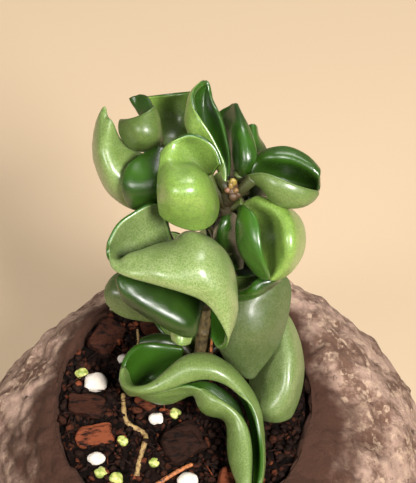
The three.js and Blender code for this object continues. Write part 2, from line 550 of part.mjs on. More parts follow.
// A leaf's sheet follows its ribs with one smooth surface. Its skin runs over the front and round the back,
// half the thickness off the surface on each side, and closes at the margins.
function sheetSolid(ribs) {
  const columns = ribs[0].map((_, c) => naturalSpline(ribs.map((rib) => rib[c])));
  const surface = (along, across) => naturalSpline(columns.map((column) => column(along)))(across);
  const inward = (share) => (share > 0.5 ? -SLOPE_STEP : SLOPE_STEP);
  const swelling = (share) => Math.sqrt(Math.min(1, MARGIN_FULLNESS * share * (1 - share)));
  const skin = (around, step, target) => {
    const along = towardEnds(step);
    const across = towardEnds(1 - Math.abs(2 * around - 1));
    const side = around < 0.5 ? 1 : -1;
    const here = surface(along, across);
    const down = surface(along + inward(along), across).sub(here).multiplyScalar(Math.sign(inward(along)));
    const over = surface(along, across + inward(across)).sub(here).multiplyScalar(Math.sign(inward(across)));
    const half = (LEAF_THICKNESS / 2) * swelling(along) * swelling(across);
    target.copy(here).addScaledVector(over.cross(down).normalize(), side * half);
  };
  const slices = 2 * (ribs[0].length > 5 ? 8 : 6);
  const stacks = Math.max(7, ribs.length + 2);
  return asSolid(new ParametricGeometry(skin, slices, stacks));
}

function stemRadius(height) {
  return THREE.MathUtils.lerp(STEM_ROOT_RADIUS, STEM_TIP_RADIUS, height);
}

const stemCurve = new THREE.CatmullRomCurve3(STEM_COURSE);

function stemPoint(height) {
  return stemCurve.getPointAt(STEM_SHARE_IN_SOIL + (1 - STEM_SHARE_IN_SOIL) * height);
}

// The stem's skin is a stack of rings with a flat cap at each end, so its first and last ring are points
function stemSolid(extra = 0) {
  const skin = (around, along, target) => {
    const angle = 2 * Math.PI * around;
    const onCap = along === 0 || along === 1;
    const step = THREE.MathUtils.clamp((along * (STEM_RINGS + 2) - 1) / STEM_RINGS, 0, 1);
    const radius = onCap ? 0 : stemRadius(step) + extra;
    const longer = step === 0 || step === 1 ? extra * Math.sign(step - 0.5) : 0;
    target.copy(stemCurve.getPointAt(step));
    target.x += radius * Math.cos(angle);
    target.y += radius * Math.sin(angle);
    target.z += longer;
  };
  return asSolid(new ParametricGeometry(skin, STEM_SIDES, STEM_RINGS + 2));
}

// A trough-shaped leaf's ribs: its middle line bends down as it goes, and each rib is an arc across it
function troughRibs({ at, heading, rise, length, width, fold, droop }) {
  const turn = THREE.MathUtils.degToRad(heading);
  const outward = new THREE.Vector3(Math.cos(turn), Math.sin(turn), 0);
  const sideways = new THREE.Vector3(-Math.sin(turn), Math.cos(turn), 0);
  const middle = stemPoint(at).addScaledVector(outward, stemRadius(at) + 4);
  const ribs = [];
  const stations = 6;
  for (let i = 0; i < stations; i++) {
    const share = i / (stations - 1);
    const pitch = THREE.MathUtils.degToRad(rise - droop * share);
    const forward = outward.clone().multiplyScalar(Math.cos(pitch)).setZ(Math.sin(pitch));
    const upward = outward.clone().multiplyScalar(-Math.sin(pitch)).setZ(Math.cos(pitch));
    if (i > 0) middle.addScaledVector(forward, length / (stations - 1));
    const halfWidth = (width / 2) * Math.sin(Math.PI * (0.07 + 0.87 * share)) ** 0.8;
    const arc = THREE.MathUtils.degToRad(fold);
    const radius = halfWidth / Math.sin(arc);
    ribs.push(
      [-1, -0.5, 0, 0.5, 1].map((across) =>
        middle
          .clone()
          .addScaledVector(sideways, radius * Math.sin(arc * across))
          .addScaledVector(upward, radius * (1 - Math.cos(arc * across))),
      ),
    );
  }
  return ribs;
}

// Materials
const LEAF = new THREE.MeshStandardMaterial({ color: "#7fa553", roughness: 0.45, metalness: 0 });
const STONE = new THREE.MeshStandardMaterial({ color: "#7d6456", roughness: 0.95, metalness: 0 });
const SOIL = new THREE.MeshStandardMaterial({ color: "#2b1913", roughness: 0.95, metalness: 0 });
const STEM_SKIN = new THREE.MeshStandardMaterial({ color: "#9a7850", roughness: 0.7, metalness: 0 });
const BARK = new THREE.MeshStandardMaterial({ color: "#6b3320", roughness: 0.85, metalness: 0 });
const PERLITE = new THREE.MeshStandardMaterial({ color: "#e9e4da", roughness: 0.9, metalness: 0 });
const PELLET = new THREE.MeshStandardMaterial({ color: "#b4b45c", roughness: 0.5, metalness: 0 });
const ROOT_SKIN = new THREE.MeshStandardMaterial({ color: "#a98c5c", roughness: 0.7, metalness: 0 });

const plant = new THREE.Group();

// The planter's skin is one closed loop of rings: out from the drain hole over the flat foot, up the lumpy
// outside, over the rim, down the pocket and back to the drain hole. A ring is its centre, two radii,
// height, how lumpy it is and how much of the rise at the right rear it takes.
const POCKET_WALL = [[0, RIM_HEIGHT - 1], [1, RIM_HEIGHT - 6], [5, 74], [11, 39], [17, POCKET_FLOOR]];
const OUTSIDE = [
  [PLANTER_FOOT_RADIUS, 0, 0, 0], [PLANTER_FOOT_RADIUS + 7, 3, 0.4, 0], [79, 14, 0.9, 0], [85, 28, 1, 0],
  [PLANTER_RADIUS, 45, 1, 0], [85.5, 60, 1, 0.1], [81.5, 73, 1, 0.3], [76, 84, 1, 0.5], [69, 94, 1, 0.8],
  [61, 101, 0.9, 1],
];
const BEFORE_RIM = [[0.35, 106, 0.7, 1], [0.7, RIM_HEIGHT - 1, 0.4, 0.7], [0.95, RIM_HEIGHT, 0.1, 0.5]];
const REAR_PEAK = { height: 11, heading: 0.95 };

function planterRings() {
  const { x, y } = POCKET;
  const drain = { x, y, radiusX: DRAIN_RADIUS, radiusY: DRAIN_RADIUS, z: 0, lumpy: 0, rise: 0 };
  const rings = [drain];
  for (const [radius, z, lumpy, rise] of OUTSIDE) {
    rings.push({ ...PLANTER_MIDDLE, radiusX: radius, radiusY: radius, z, lumpy, rise });
  }
  const shoulder = rings.at(-1);
  for (const [share, z, lumpy, rise] of BEFORE_RIM) {
    const toward = (from, to) => THREE.MathUtils.lerp(from, to, share);
    rings.push({
      x: toward(PLANTER_MIDDLE.x, POCKET.x), y: toward(PLANTER_MIDDLE.y, POCKET.y), z, lumpy, rise,
      radiusX: toward(shoulder.radiusX, POCKET.radiusX), radiusY: toward(shoulder.radiusY, POCKET.radiusY),
    });
  }
  rings.push(...pocketRings(0));
  rings.push({ ...drain, z: POCKET_FLOOR }, drain);
  return rings;
}

function pocketRings(inset) {
  return POCKET_WALL.map(([taper, z]) => ({
    x: POCKET.x, y: POCKET.y, z: z + (z === POCKET_FLOOR ? inset : 0), lumpy: 0, rise: 0,
    radiusX: POCKET.radiusX - taper - inset, radiusY: POCKET.radiusY - taper - inset,
  }));
}

function onRing(ring, angle, target) {
  const broad = 1.6 * Math.sin(3 * angle + 0.6 + ring.z / 40);
  const narrow = 1.1 * Math.sin(5 * angle + ring.z / 14) + 0.8 * Math.sin(8 * angle - ring.z / 9);
  const swell = ring.lumpy * (broad + narrow);
  const rise = ring.rise * REAR_PEAK.height * Math.max(0, Math.cos(angle - REAR_PEAK.heading)) ** 3;
  target.set(
    ring.x + (ring.radiusX + swell) * Math.cos(angle),
    ring.y + (ring.radiusY + swell) * Math.sin(angle),
    ring.z + rise,
  );
}

function ringSkin(rings) {
  const skin = (around, along, target) => {
    const ring = rings[Math.round(along * (rings.length - 1))];
    onRing(ring, 2 * Math.PI * around, target);
  };
  return new ParametricGeometry(skin, PLANTER_SIDES, rings.length - 1);
}

plant.add(solidMesh("planter", asSolid(ringSkin(planterRings())), STONE));

function soilHeight(x, y) {
  return SOIL_TOP + 0.9 * Math.sin(x / 6 + 1) * Math.cos(y / 5) + 0.5 * Math.sin(x / 2.9 + y / 3.7);
}

const SOIL_EDGE_GAP = 0.8;

function soilSolid() {
  const wall = pocketRings(GAP);
  const radiusX = wall[0].radiusX - SOIL_EDGE_GAP;
  const radiusY = wall[0].radiusY - SOIL_EDGE_GAP;
  const top = [0, 0.2, 0.4, 0.6, 0.8, 0.93, 1].map((share) => ({
    ...wall[0], radiusX: radiusX * share, radiusY: radiusY * share, z: SOIL_TOP, top: true,
  }));
  const bottom = { ...wall.at(-1), radiusX: 0, radiusY: 0 };
  const rings = [...top, ...wall.slice(1), bottom].reverse();
  const skin = (around, along, target) => {
    const ring = rings[Math.round(along * (rings.length - 1))];
    onRing(ring, 2 * Math.PI * around, target);
    if (ring.top) target.z = soilHeight(target.x, target.y);
  };
  return asSolid(new ParametricGeometry(skin, PLANTER_SIDES, rings.length - 1));
}

let soil = soilSolid().subtract(stemSolid(GAP));
const onSoil = [];
const CHIP_CORNERS = [[-0.5, -0.38], [0.32, -0.5], [0.5, 0.1], [0.2, 0.5], [-0.42, 0.4]];

// A piece that is half sunk in the soil: the soil is hollowed by the piece's own shape and the gap
function bed(name, shapeOf, material) {
  soil = soil.subtract(shapeOf(GAP));
  onSoil.push(solidMesh(name, shapeOf(0), material));
}

// A bark chip is a broken slab: an irregular five-cornered outline with some depth
function chipSolid({ x, y, length, width, depth, turn, tilt }, extra) {
  const long = length + 2 * extra;
  const wide = width + 2 * extra;
  const points = CHIP_CORNERS.map(([u, v]) => new THREE.Vector2(u * long, v * wide));
  const thick = depth + 2 * extra;
  const geometry = new THREE.ExtrudeGeometry(new THREE.Shape(points), { depth: thick, bevelEnabled: false });
  geometry.translate(0, 0, -thick / 2);
  geometry.rotateX(THREE.MathUtils.degToRad(tilt));
  geometry.rotateZ(THREE.MathUtils.degToRad(turn));
  geometry.translate(x, y, soilHeight(x, y) + depth * 0.25);
  return asSolid(geometry);
}

const crumb = (size) => new THREE.IcosahedronGeometry(size, 0);
const ball = (size) => new THREE.SphereGeometry(size, 8, 5);

// A grain is a squashed ball or crumb
function grainSolid({ x, y, size }, extra, geometryOf) {
  const geometry = geometryOf(size + extra);
  geometry.scale(1.15, 1, 0.85);
  geometry.translate(x, y, soilHeight(x, y) + size * 0.35);
  return asSolid(geometry);
}

function lyingCourse(course, height) {
  return course.map(([x, y]) => new THREE.Vector3(x, y, soilHeight(x, y) + height));
}

// A rod on the soil, with its hollow a little longer than the rod at both ends
function lyingRod(points, radius, extra, steps) {
  const course = points.map((point) => point.clone());
  const lengthen = (end, next) => end.addScaledVector(end.clone().sub(next).normalize(), extra);
  lengthen(course[0], course[1]);
  lengthen(course.at(-1), course.at(-2));
  return rodSolid(course, radius + extra, steps, 6);
}

for (const [place, chip] of Object.entries(BARK_CHIPS)) {
  bed("bark_chip_" + place, (extra) => chipSolid(chip, extra), BARK);
}
for (const [place, grain] of Object.entries(PERLITE_GRAINS)) {
  bed("perlite_" + place, (extra) => grainSolid(grain, extra, crumb), PERLITE);
}
for (const [place, pellet] of Object.entries(PELLETS)) {
  bed("pellet_" + place, (extra) => grainSolid(pellet, extra, ball), PELLET);
}
for (const [kind, { radius, course }] of Object.entries(ROOTS)) {
  const points = lyingCourse(course, radius);
  bed("root_" + kind, (extra) => lyingRod(points, radius, extra, 4 * course.length), ROOT_SKIN);
}
const twigPoints = lyingCourse(TWIG.course, TWIG.radius);
bed("twig", (extra) => lyingRod(twigPoints, TWIG.radius, extra, 6), BARK);
bed("old_stalk", (extra) => lyingRod(OLD_STALK.course, OLD_STALK.radius, extra, 8), ROOT_SKIN);

plant.add(solidMesh("soil", soil, SOIL), ...onSoil);
plant.add(solidMesh("stem", stemSolid(), STEM_SKIN));

// The growing tip, a small pointed bud on the end of the stem
const budHeight = 3.4;
const bud = new THREE.IcosahedronGeometry(1, 1);
bud.scale(1.5, 1.3, budHeight / 2);
bud.translate(...seen(BUD_PLACE).toArray());
plant.add(solidMesh("crown_bud", asSolid(bud), PELLET));

// Each leaf with its petiole is one piece. It is trimmed to clear the stem that it grows from.
const stemClearance = stemSolid(GAP);

function leafSolid(sheets, at, petioleCourse) {
  const petiole = rodSolid([stemPoint(at), ...petioleCourse], PETIOLE_RADIUS, 3 * petioleCourse.length, 6);
  return sheets.map(sheetSolid).reduce((whole, sheet) => whole.add(sheet), petiole).subtract(stemClearance);
}

for (const [place, { sheets, at, petiole }] of Object.entries(LEAVES)) {
  const ribs = sheets.map((sheet) => sheet.map((rib) => rib.map(seen)));
  plant.add(solidMesh("leaf_" + place, leafSolid(ribs, at, petiole.map(seen)), LEAF));
}
for (const [place, shape] of Object.entries(BACK_LEAVES)) {
  const ribs = troughRibs(shape);
  const start = ribs[0][2].clone().lerp(ribs[1][2], 0.3);
  plant.add(solidMesh("leaf_" + place, leafSolid([ribs], shape.at, [start]), LEAF));
}

export default plant;
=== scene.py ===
"""Looks for a small hindu rope plant in a rough stone planter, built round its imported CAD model."""

import math

import bpy
import numpy as np
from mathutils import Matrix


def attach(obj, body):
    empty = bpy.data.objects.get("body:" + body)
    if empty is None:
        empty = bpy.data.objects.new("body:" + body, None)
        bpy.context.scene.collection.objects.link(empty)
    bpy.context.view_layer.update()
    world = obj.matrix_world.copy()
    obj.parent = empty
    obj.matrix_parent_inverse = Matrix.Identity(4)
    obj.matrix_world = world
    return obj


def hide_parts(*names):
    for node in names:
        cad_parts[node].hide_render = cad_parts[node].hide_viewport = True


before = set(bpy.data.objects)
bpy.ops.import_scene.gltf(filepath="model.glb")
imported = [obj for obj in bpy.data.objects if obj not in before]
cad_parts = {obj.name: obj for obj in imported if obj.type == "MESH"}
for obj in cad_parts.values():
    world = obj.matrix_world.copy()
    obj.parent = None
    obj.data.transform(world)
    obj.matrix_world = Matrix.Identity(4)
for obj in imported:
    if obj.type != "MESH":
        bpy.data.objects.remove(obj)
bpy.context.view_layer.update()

# The eye
# The plant is seen from the front, looking down by 50 degrees from 450 mm off its crown. The leaves' points
# are given as this eye sees them: right, up and near, in millimetres in the picture plane through the crown.
MM = 0.001
LOOKING_DOWN = math.radians(50)
EYE_DISTANCE = 450
CROWN = np.array([1.3, 8.7, 185.7])
RIGHT = np.array([1.0, 0.0, 0.0])
UP = np.array([0.0, math.sin(LOOKING_DOWN), math.cos(LOOKING_DOWN)])
NEAR = np.array([0.0, -math.cos(LOOKING_DOWN), math.sin(LOOKING_DOWN)])
SENSOR_WIDTH = 36
PICTURE_HEIGHT = 144.9


def seen(points):
    """Real places of right, up, near points: sight lines meet, so right and up shrink with nearness."""
    points = np.asarray(points, float)
    right, up, near = points[..., 0:1], points[..., 1:2], points[..., 2:3]
    spread = 1 - near / EYE_DISTANCE
    return CROWN + right * spread * RIGHT + up * spread * UP + near * NEAR


eye_data = bpy.data.cameras.new("eye")
eye_data.sensor_width = SENSOR_WIDTH
eye_data.lens = SENSOR_WIDTH * EYE_DISTANCE / PICTURE_HEIGHT
eye_data.clip_start = 0.01
eye = bpy.data.objects.new("eye", eye_data)
eye.location = (CROWN + EYE_DISTANCE * NEAR) * MM
eye.rotation_euler = (math.pi / 2 - LOOKING_DOWN, 0, 0)
bpy.context.scene.collection.objects.link(eye)
bpy.context.scene.camera = eye


# The floor and the light
# A plain pale floor, warm as sunlit paper, that glows faintly itself. A soft lamp to the right of the eye
# gives the leaves their highlights, weaker ones stand at the left and behind the crown, and the sky is pale.
FLOOR_REACH = 6000
FLOOR_COLOUR = (0.4, 0.3, 0.197, 1)
FLOOR_GLOW = 0.36
LAMP_COLOUR = (1.0, 0.98, 0.95)
# place, width and height in metres, and watts
LAMPS = {
    "right_front": ((0.36, -0.56, 0.85), (0.27, 0.27), 23),
    "overhead_back": ((0.2, 0.6, 0.95), (0.4, 0.3), 5),
    "fill_left": ((-0.6, -0.5, 0.75), (0.35, 0.35), 7.5),
}
SKY_COLOUR = (1.0, 0.96, 0.9, 1)
SKY_STRENGTH = 0.13


def add_mesh(name, points, triangles, material, attributes=None):
    """A smooth mesh object from places in millimetres, triangles of their numbers, and attributes' values."""
    mesh = bpy.data.meshes.new(name)
    mesh.vertices.add(len(points))
    mesh.vertices.foreach_set("co", np.ravel(points * MM).astype(np.float32))
    mesh.loops.add(triangles.size)
    mesh.loops.foreach_set("vertex_index", triangles.ravel().astype(np.int32))
    mesh.polygons.add(len(triangles))
    mesh.polygons.foreach_set("loop_start", np.arange(0, triangles.size, 3, dtype=np.int32))
    mesh.polygons.foreach_set("use_smooth", np.ones(len(triangles), bool))
    for label, values in (attributes or {}).items():
        mesh.attributes.new(label, "FLOAT", "POINT").data.foreach_set("value", values.astype(np.float32))
    mesh.update(calc_edges=True)
    mesh.materials.append(material)
    piece = bpy.data.objects.new(name, mesh)
    bpy.context.scene.collection.objects.link(piece)
    return piece


def new_material(name, roughness):
    """A material with its node tree and its shader."""
    material = bpy.data.materials.new(name)
    material.use_nodes = True
    shader = material.node_tree.nodes["Principled BSDF"]
    shader.inputs["Roughness"].default_value = roughness
    return material, material.node_tree, shader


floor_material, _, floor_shader = new_material("warm_paper_floor", 0.85)
floor_shader.inputs["Base Color"].default_value = FLOOR_COLOUR
floor_shader.inputs["Emission Color"].default_value = FLOOR_COLOUR
floor_shader.inputs["Emission Strength"].default_value = FLOOR_GLOW
floor_corners = FLOOR_REACH * np.array([[-1, -1, 0], [1, -1, 0], [1, 1, 0], [-1, 1, 0]])
floor = add_mesh("floor", floor_corners, np.array([[0, 1, 2], [0, 2, 3]]), floor_material)


def unit(vectors):
    """These vectors at a length of 1."""
    return vectors / (np.linalg.norm(vectors, axis=-1, keepdims=True) + 1e-12)


def add_soft_light(name, place, size, watts):
    """A rectangular soft light at a place in metres, turned to face the crown."""
    data = bpy.data.lights.new(name, "AREA")
    data.shape = "RECTANGLE"
    data.size, data.size_y = size
    data.energy = watts
    data.color = LAMP_COLOUR
    backward = unit(np.array(place) - CROWN * MM)
    side = unit(np.cross([0, 0, 1], backward))
    placed = np.eye(4)
    placed[:3] = np.stack([side, np.cross(backward, side), backward, place], axis=1)
    lamp = bpy.data.objects.new(name, data)
    lamp.matrix_world = placed.T.tolist()
    bpy.context.scene.collection.objects.link(lamp)


for name, (place, size, watts) in LAMPS.items():
    add_soft_light(name, place, size, watts)
sky = bpy.data.worlds.new("pale_sky")
sky.use_nodes = True
sky.node_tree.nodes["Background"].inputs["Color"].default_value = SKY_COLOUR
sky.node_tree.nodes["Background"].inputs["Strength"].default_value = SKY_STRENGTH
bpy.context.scene.world = sky
bpy.context.scene.view_settings.view_transform = "Standard"


# The planter
# A thick-walled planter of rough, lumpy, mauve-brown stone, like a boulder with a pocket for the soil. It is
# cast in one piece, with a flat foot to stand on and a drain hole under the pocket.
PLANTER_MIDDLE = (-1.5, 0.85)
POCKET_MIDDLE = (-7.5, 4)
POCKET_RADII = (42, 49)
POCKET_FLOOR = 34
RIM_HEIGHT = 110
DRAIN_RADIUS = 6
REAR_PEAK_HEIGHT = 11
REAR_PEAK_HEADING = 0.95
# radius, height, how lumpy, and share of the peak at the right rear
OUTSIDE = [
    (62, 0, 0, 0), (69, 3, 0.4, 0), (79, 14, 0.9, 0), (85, 28, 1, 0), (88, 45, 1, 0), (85.5, 60, 1, 0.1),
    (81.5, 73, 1, 0.3), (76, 84, 1, 0.5), (69, 94, 1, 0.8), (61, 101, 0.9, 1),
]
# share of the way from the shoulder to the pocket, height, how lumpy, and share of the peak
BEFORE_RIM = [(0.35, 106, 0.7, 1), (0.7, RIM_HEIGHT - 1, 0.4, 0.7), (0.95, RIM_HEIGHT, 0.1, 0.5)]
# how far in from the rim, and height
POCKET_WALL = [(0, RIM_HEIGHT - 1), (1, RIM_HEIGHT - 6), (5, 74), (11, 39), (17, POCKET_FLOOR)]
PLANTER_SIDES = 400
# height and size of each layer of lumps in the stone
STONE_SWELLS = [(1.5, 19), (1.0, 8.5), (0.5, 3.4)]
PEBBLE_SIZE = 6.5
PIT_SPACING = 9
PIT_DEPTH = 2
PIT_REACH = 0.28
# how far the relief as a whole lies below the plain shape
STONE_SINKING = 0.6
# how far the stone darkens round the pocket, as a share of the pocket's radius: further at the front than at
# the back
DARKENING_REACH = 0.6
DARKENING_LEAN = 0.35
DARKENING_FADE = 7


def spline_weights(knots, shares):
    """Row i weighs the knots for the place shares[i], 0 to 1, on the natural cubic spline through evenly
    spaced knots: a straight blend, plus each knot's bend times the cubes of the shares to both sides."""
    each = np.eye(knots)
    system = np.eye(knots)
    turns = np.zeros((knots, knots))
    if knots > 2:
        system[1:-1] = (each[:-2] + 4 * each[1:-1] + each[2:]) / 6
        turns[1:-1] = each[:-2] - 2 * each[1:-1] + each[2:]
    bends = np.linalg.solve(system, turns)
    place = np.asarray(shares, float) * (knots - 1)
    low = np.clip(place.astype(int), 0, knots - 2)
    after = (place - low)[:, None]
    before = 1 - after
    straight = before * each[low] + after * each[low + 1]
    return straight + ((before**3 - before) * bends[low] + (after**3 - after) * bends[low + 1]) / 6


def blend_rows(rows, count):
    """More rows between these, on a natural spline through them."""
    rows = np.array(rows, float)
    return spline_weights(len(rows), np.linspace(0, 1, count)) @ rows


def lumps(points, size, seed):
    """Smooth random heights from -1 to 1: random values at the corners of a lattice of cubes of this size,
    blended inside each cube by smooth steps."""
    table = np.random.default_rng(seed).uniform(-1, 1, (32, 32, 32))
    place = points / size
    cell = np.floor(place).astype(int)
    step = place - cell
    step = step**3 * (step * (step * 6 - 15) + 10)
    height = np.zeros(points.shape[:-1])
    for corner in np.ndindex(2, 2, 2):
        at = (cell + corner) % 32
        weight = np.where(np.array(corner) == 1, step, 1 - step).prod(axis=-1)
        height += table[at[..., 0], at[..., 1], at[..., 2]] * weight
    return height


def layered_lumps(points, layers, seed):
    """Lumps of several sizes added up, each layer given as its height and its size."""
    return sum(height * lumps(points, size, seed + number) for number, (height, size) in enumerate(layers))


def nearest_grain(points, size, seed):
    """Distance, in cell sizes, to the nearest of many scattered points: each cube of a lattice holds one."""
    table = np.random.default_rng(seed).uniform(0.1, 0.9, (16, 16, 16, 3))
    place = points / size
    cell = np.floor(place).astype(int)
    nearest = np.full(points.shape[:-1], 9.0)
    for step in np.ndindex(3, 3, 3):
        neighbour = cell + np.array(step) - 1
        at = neighbour % 16
        centre = neighbour + table[at[..., 0], at[..., 1], at[..., 2]]
        nearest = np.minimum(nearest, np.linalg.norm(place - centre, axis=-1))
    return nearest


def domes(points, size, seed, reach):
    """Round bumps from 0 to 1, one in each cell, that reach this share of the cell's size."""
    return 1 - np.minimum(1, nearest_grain(points, size, seed) / reach) ** 2


def full_circle(count):
    """Angles evenly spaced round a full turn."""
    return np.arange(count) * 2 * math.pi / count


def skin(index):
    """Triangles between neighbours in a grid of vertex numbers, without those that a shared pole flattens."""
    a, b, c, d = index[:-1, :-1], index[:-1, 1:], index[1:, 1:], index[1:, :-1]
    halves = [np.stack([a, b, c], -1), np.stack([a, c, d], -1)]
    triangles = np.concatenate([half.reshape(-1, 3) for half in halves])
    flat = (triangles == np.roll(triangles, 1, axis=1)).any(axis=1)
    return triangles[~flat]


def closed_loop(index):
    """The grid of vertex numbers with its first column again after its last."""
    return np.concatenate([index, index[:, :1]], axis=1)


def on_rings(rings, angle):
    """Points of rings, each given as centre x, y, radius x, y, height, how lumpy, and share of the peak:
    centre plus radius times cosine and sine, with swells of three sines and a rise to the right rear."""
    x, y, radius_x, radius_y, z, lumpy, peak = (rings[:, column, None] for column in range(7))
    broad = 1.6 * np.sin(3 * angle + 0.6 + z / 40)
    narrow = 1.1 * np.sin(5 * angle + z / 14) + 0.8 * np.sin(8 * angle - z / 9)
    swell = lumpy * (broad + narrow)
    rise = peak * REAR_PEAK_HEIGHT * np.maximum(0, np.cos(angle - REAR_PEAK_HEADING)) ** 3
    x = x + (radius_x + swell) * np.cos(angle)
    y = y + (radius_y + swell) * np.sin(angle)
    return np.stack([x, y, z + rise], -1)


def grid_normals(points):
    """Unit normals of a grid that closes both ways: the cross product of the steps around and along."""
    around = np.roll(points, -1, axis=1) - np.roll(points, 1, axis=1)
    along = np.roll(points, -1, axis=0) - np.roll(points, 1, axis=0)
    return unit(np.cross(around, along))


drain_ring = (*POCKET_MIDDLE, DRAIN_RADIUS, DRAIN_RADIUS)
outside_rings = [(*PLANTER_MIDDLE, radius, radius, z, lumpy, peak) for radius, z, lumpy, peak in OUTSIDE]
shoulder = np.array(outside_rings[-1][:4])
pocket = np.array([*POCKET_MIDDLE, *POCKET_RADII])
rim_rings = [(*(shoulder + share * (pocket - shoulder)), *rest) for share, *rest in BEFORE_RIM]
pocket_rings = [(*(pocket - (0, 0, inset, inset)), z, 0, 0) for inset, z in POCKET_WALL]
# the stretches of the skin between sharp turns, and how many rows each one takes
planter_stretches = [
    ([(*drain_ring, 0, 0, 0), outside_rings[0]], 10),
    (outside_rings + rim_rings, 150),
    ([rim_rings[-1], pocket_rings[0]], 5),
    (pocket_rings[:2], 6),
    (pocket_rings[1:], 20),
    ([pocket_rings[-1], (*drain_ring, POCKET_FLOOR, 0, 0)], 6),
    ([(*drain_ring, POCKET_FLOOR, 0, 0), (*drain_ring, 0, 0, 0)], 8),
]
planter_rings = np.concatenate([blend_rows(rings, count)[:-1] for rings, count in planter_stretches])
stone_points = on_rings(planter_rings, full_circle(PLANTER_SIDES))
rough = np.clip((planter_rings[:, 4:5] - 1) / 5, 0, 1) * (planter_rings[:, 2:3] > POCKET_RADII[0] - 2)
pits = np.maximum(0, 1 - nearest_grain(stone_points, PIT_SPACING, 5) / PIT_REACH)
relief = layered_lumps(stone_points, STONE_SWELLS, 1) + domes(stone_points, PEBBLE_SIZE, 4, 0.7)
relief = rough * (relief - PIT_DEPTH * pits - STONE_SINKING)
stone_points = stone_points + grid_normals(stone_points) * relief[..., None]
stone_points[..., 2] = np.maximum(stone_points[..., 2], 0)
stone_index = np.arange(len(planter_rings) * PLANTER_SIDES).reshape(len(planter_rings), PLANTER_SIDES)
stone_index = closed_loop(np.concatenate([stone_index, stone_index[:1]]))


def add_node(tree, kind, inputs=None, **settings):
    """A shader node with these settings, its inputs set to values or linked from other nodes' sockets."""
    made = tree.nodes.new("ShaderNode" + kind)
    for key, value in settings.items():
        setattr(made, key, value)
    for key, value in (inputs or {}).items():
        if isinstance(value, bpy.types.NodeSocket):
            tree.links.new(value, made.inputs[key])
        else:
            made.inputs[key].default_value = value
    return made


def object_place(tree):
    """Where the shaded point is on the object, in metres."""
    return add_node(tree, "TexCoord").outputs["Object"]


def own_value(tree, name):
    """A value that the mesh carries."""
    return add_node(tree, "Attribute", attribute_name=name).outputs["Fac"]


def noise(tree, grain, detail=3.0, roughness=0.55, stretch=(1, 1, 1)):
    """Soft noise around a half, with patches about one grain in size, in millimetres."""
    place = add_node(tree, "Mapping", {"Vector": object_place(tree), "Scale": stretch}).outputs["Vector"]
    inputs = {"Vector": place, "Scale": 1 / (grain * MM), "Detail": detail, "Roughness": roughness}
    return add_node(tree, "TexNoise", inputs).outputs["Fac"]


def grains(tree, size):
    """Distance from the middle of the nearest grain, and that grain's own random colour."""
    made = add_node(tree, "TexVoronoi", {"Vector": object_place(tree), "Scale": 1 / (size * MM)})
    return made.outputs["Distance"], made.outputs["Color"]


def ramp(tree, value, low, high):
    """0 where the value is low, 1 where it is high, with a smooth rise between."""
    inputs = {"Value": value, "From Min": low, "From Max": high}
    return add_node(tree, "MapRange", inputs, interpolation_type="SMOOTHSTEP").outputs["Result"]


def mix(tree, share, first, second):
    """The first colour blended into the second by this share."""
    made = add_node(tree, "Mix", {"Factor": share}, data_type="RGBA")
    for socket, colour in ((made.inputs[6], first), (made.inputs[7], second)):
        if isinstance(colour, bpy.types.NodeSocket):
            tree.links.new(colour, socket)
        else:
            socket.default_value = (*colour, 1)
    return made.outputs[2]


def arithmetic(tree, operation, first, second):
    """An operation on two values."""
    return add_node(tree, "Math", {0: first, 1: second}, operation=operation).outputs[0]


def times(tree, first, second):
    """A value times another."""
    return arithmetic(tree, "MULTIPLY", first, second)


def plus(tree, first, second):
    """A value plus another."""
    return arithmetic(tree, "ADD", first, second)


def draw(tree, colour, channel):
    """One of the three random values, from 0 to 1, in a grain's own colour."""
    return add_node(tree, "SeparateColor", {"Color": colour}).outputs[channel]


def bump(tree, shader, height, distance):
    """Fine relief: heights of 0 to 1 stand this far out, in millimetres."""
    inputs = {"Height": height, "Distance": distance * MM, "Strength": 1.0}
    tree.links.new(add_node(tree, "Bump", inputs).outputs["Normal"], shader.inputs["Normal"])


def paint(tree, shader, colour, roughness=None):
    """Links a colour, and a roughness if it varies, to the shader."""
    tree.links.new(colour, shader.inputs["Base Color"])
    if roughness:
        tree.links.new(roughness, shader.inputs["Roughness"])


STONE_BROWN = (0.115, 0.061, 0.041)
STONE_MAUVE = (0.325, 0.215, 0.165)
STONE_TAN = (0.41, 0.29, 0.205)
STONE_PIT = (0.05, 0.027, 0.02)
POCKET_DARK_BROWN = (0.045, 0.018, 0.01)
stone_material, tree, shader = new_material("rough_mauve_stone", 0.92)
shader.inputs["Specular IOR Level"].default_value = 0.25
stone_colour = mix(tree, ramp(tree, noise(tree, 13, 5, 0.65), 0.4, 0.6), STONE_BROWN, STONE_MAUVE)
_, grain_colour = grains(tree, 2.4)
grain_tone = draw(tree, grain_colour, "Red")
tan_patches = ramp(tree, noise(tree, 2.6, 4), 0.42, 0.6)
tan_share = times(tree, ramp(tree, grain_tone, 0.3, 1), tan_patches)
stone_colour = mix(tree, tan_share, stone_colour, STONE_TAN)
stone_colour = mix(tree, ramp(tree, noise(tree, 4.2, 6, 0.7), 0.55, 0.72), stone_colour, STONE_PIT)
# the stone turns darker brown round the pocket, further out at the front than at the back
darkening_edge = plus(tree, own_value(tree, "pocket_darkening"), noise(tree, 9, 4))
stone_colour = mix(tree, ramp(tree, darkening_edge, 0.7, 1.3), stone_colour, POCKET_DARK_BROWN)
paint(tree, shader, stone_colour)
bump(tree, shader, noise(tree, 1.6, 6, 0.7), 1.1)
from_pocket = np.linalg.norm((stone_points[..., :2] - POCKET_MIDDLE) / POCKET_RADII, axis=-1)
darkening_reach = DARKENING_REACH - DARKENING_LEAN * np.tanh((stone_points[..., 1] - POCKET_MIDDLE[1]) / DARKENING_FADE)
pocket_darkening = np.clip(1 - (from_pocket - 1) / darkening_reach, 0, 1)
stone_piece = add_mesh(
    "stone_planter", stone_points.reshape(-1, 3), skin(stone_index), stone_material, {"pocket_darkening": pocket_darkening.ravel()}
)
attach(stone_piece, "root")
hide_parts("planter")


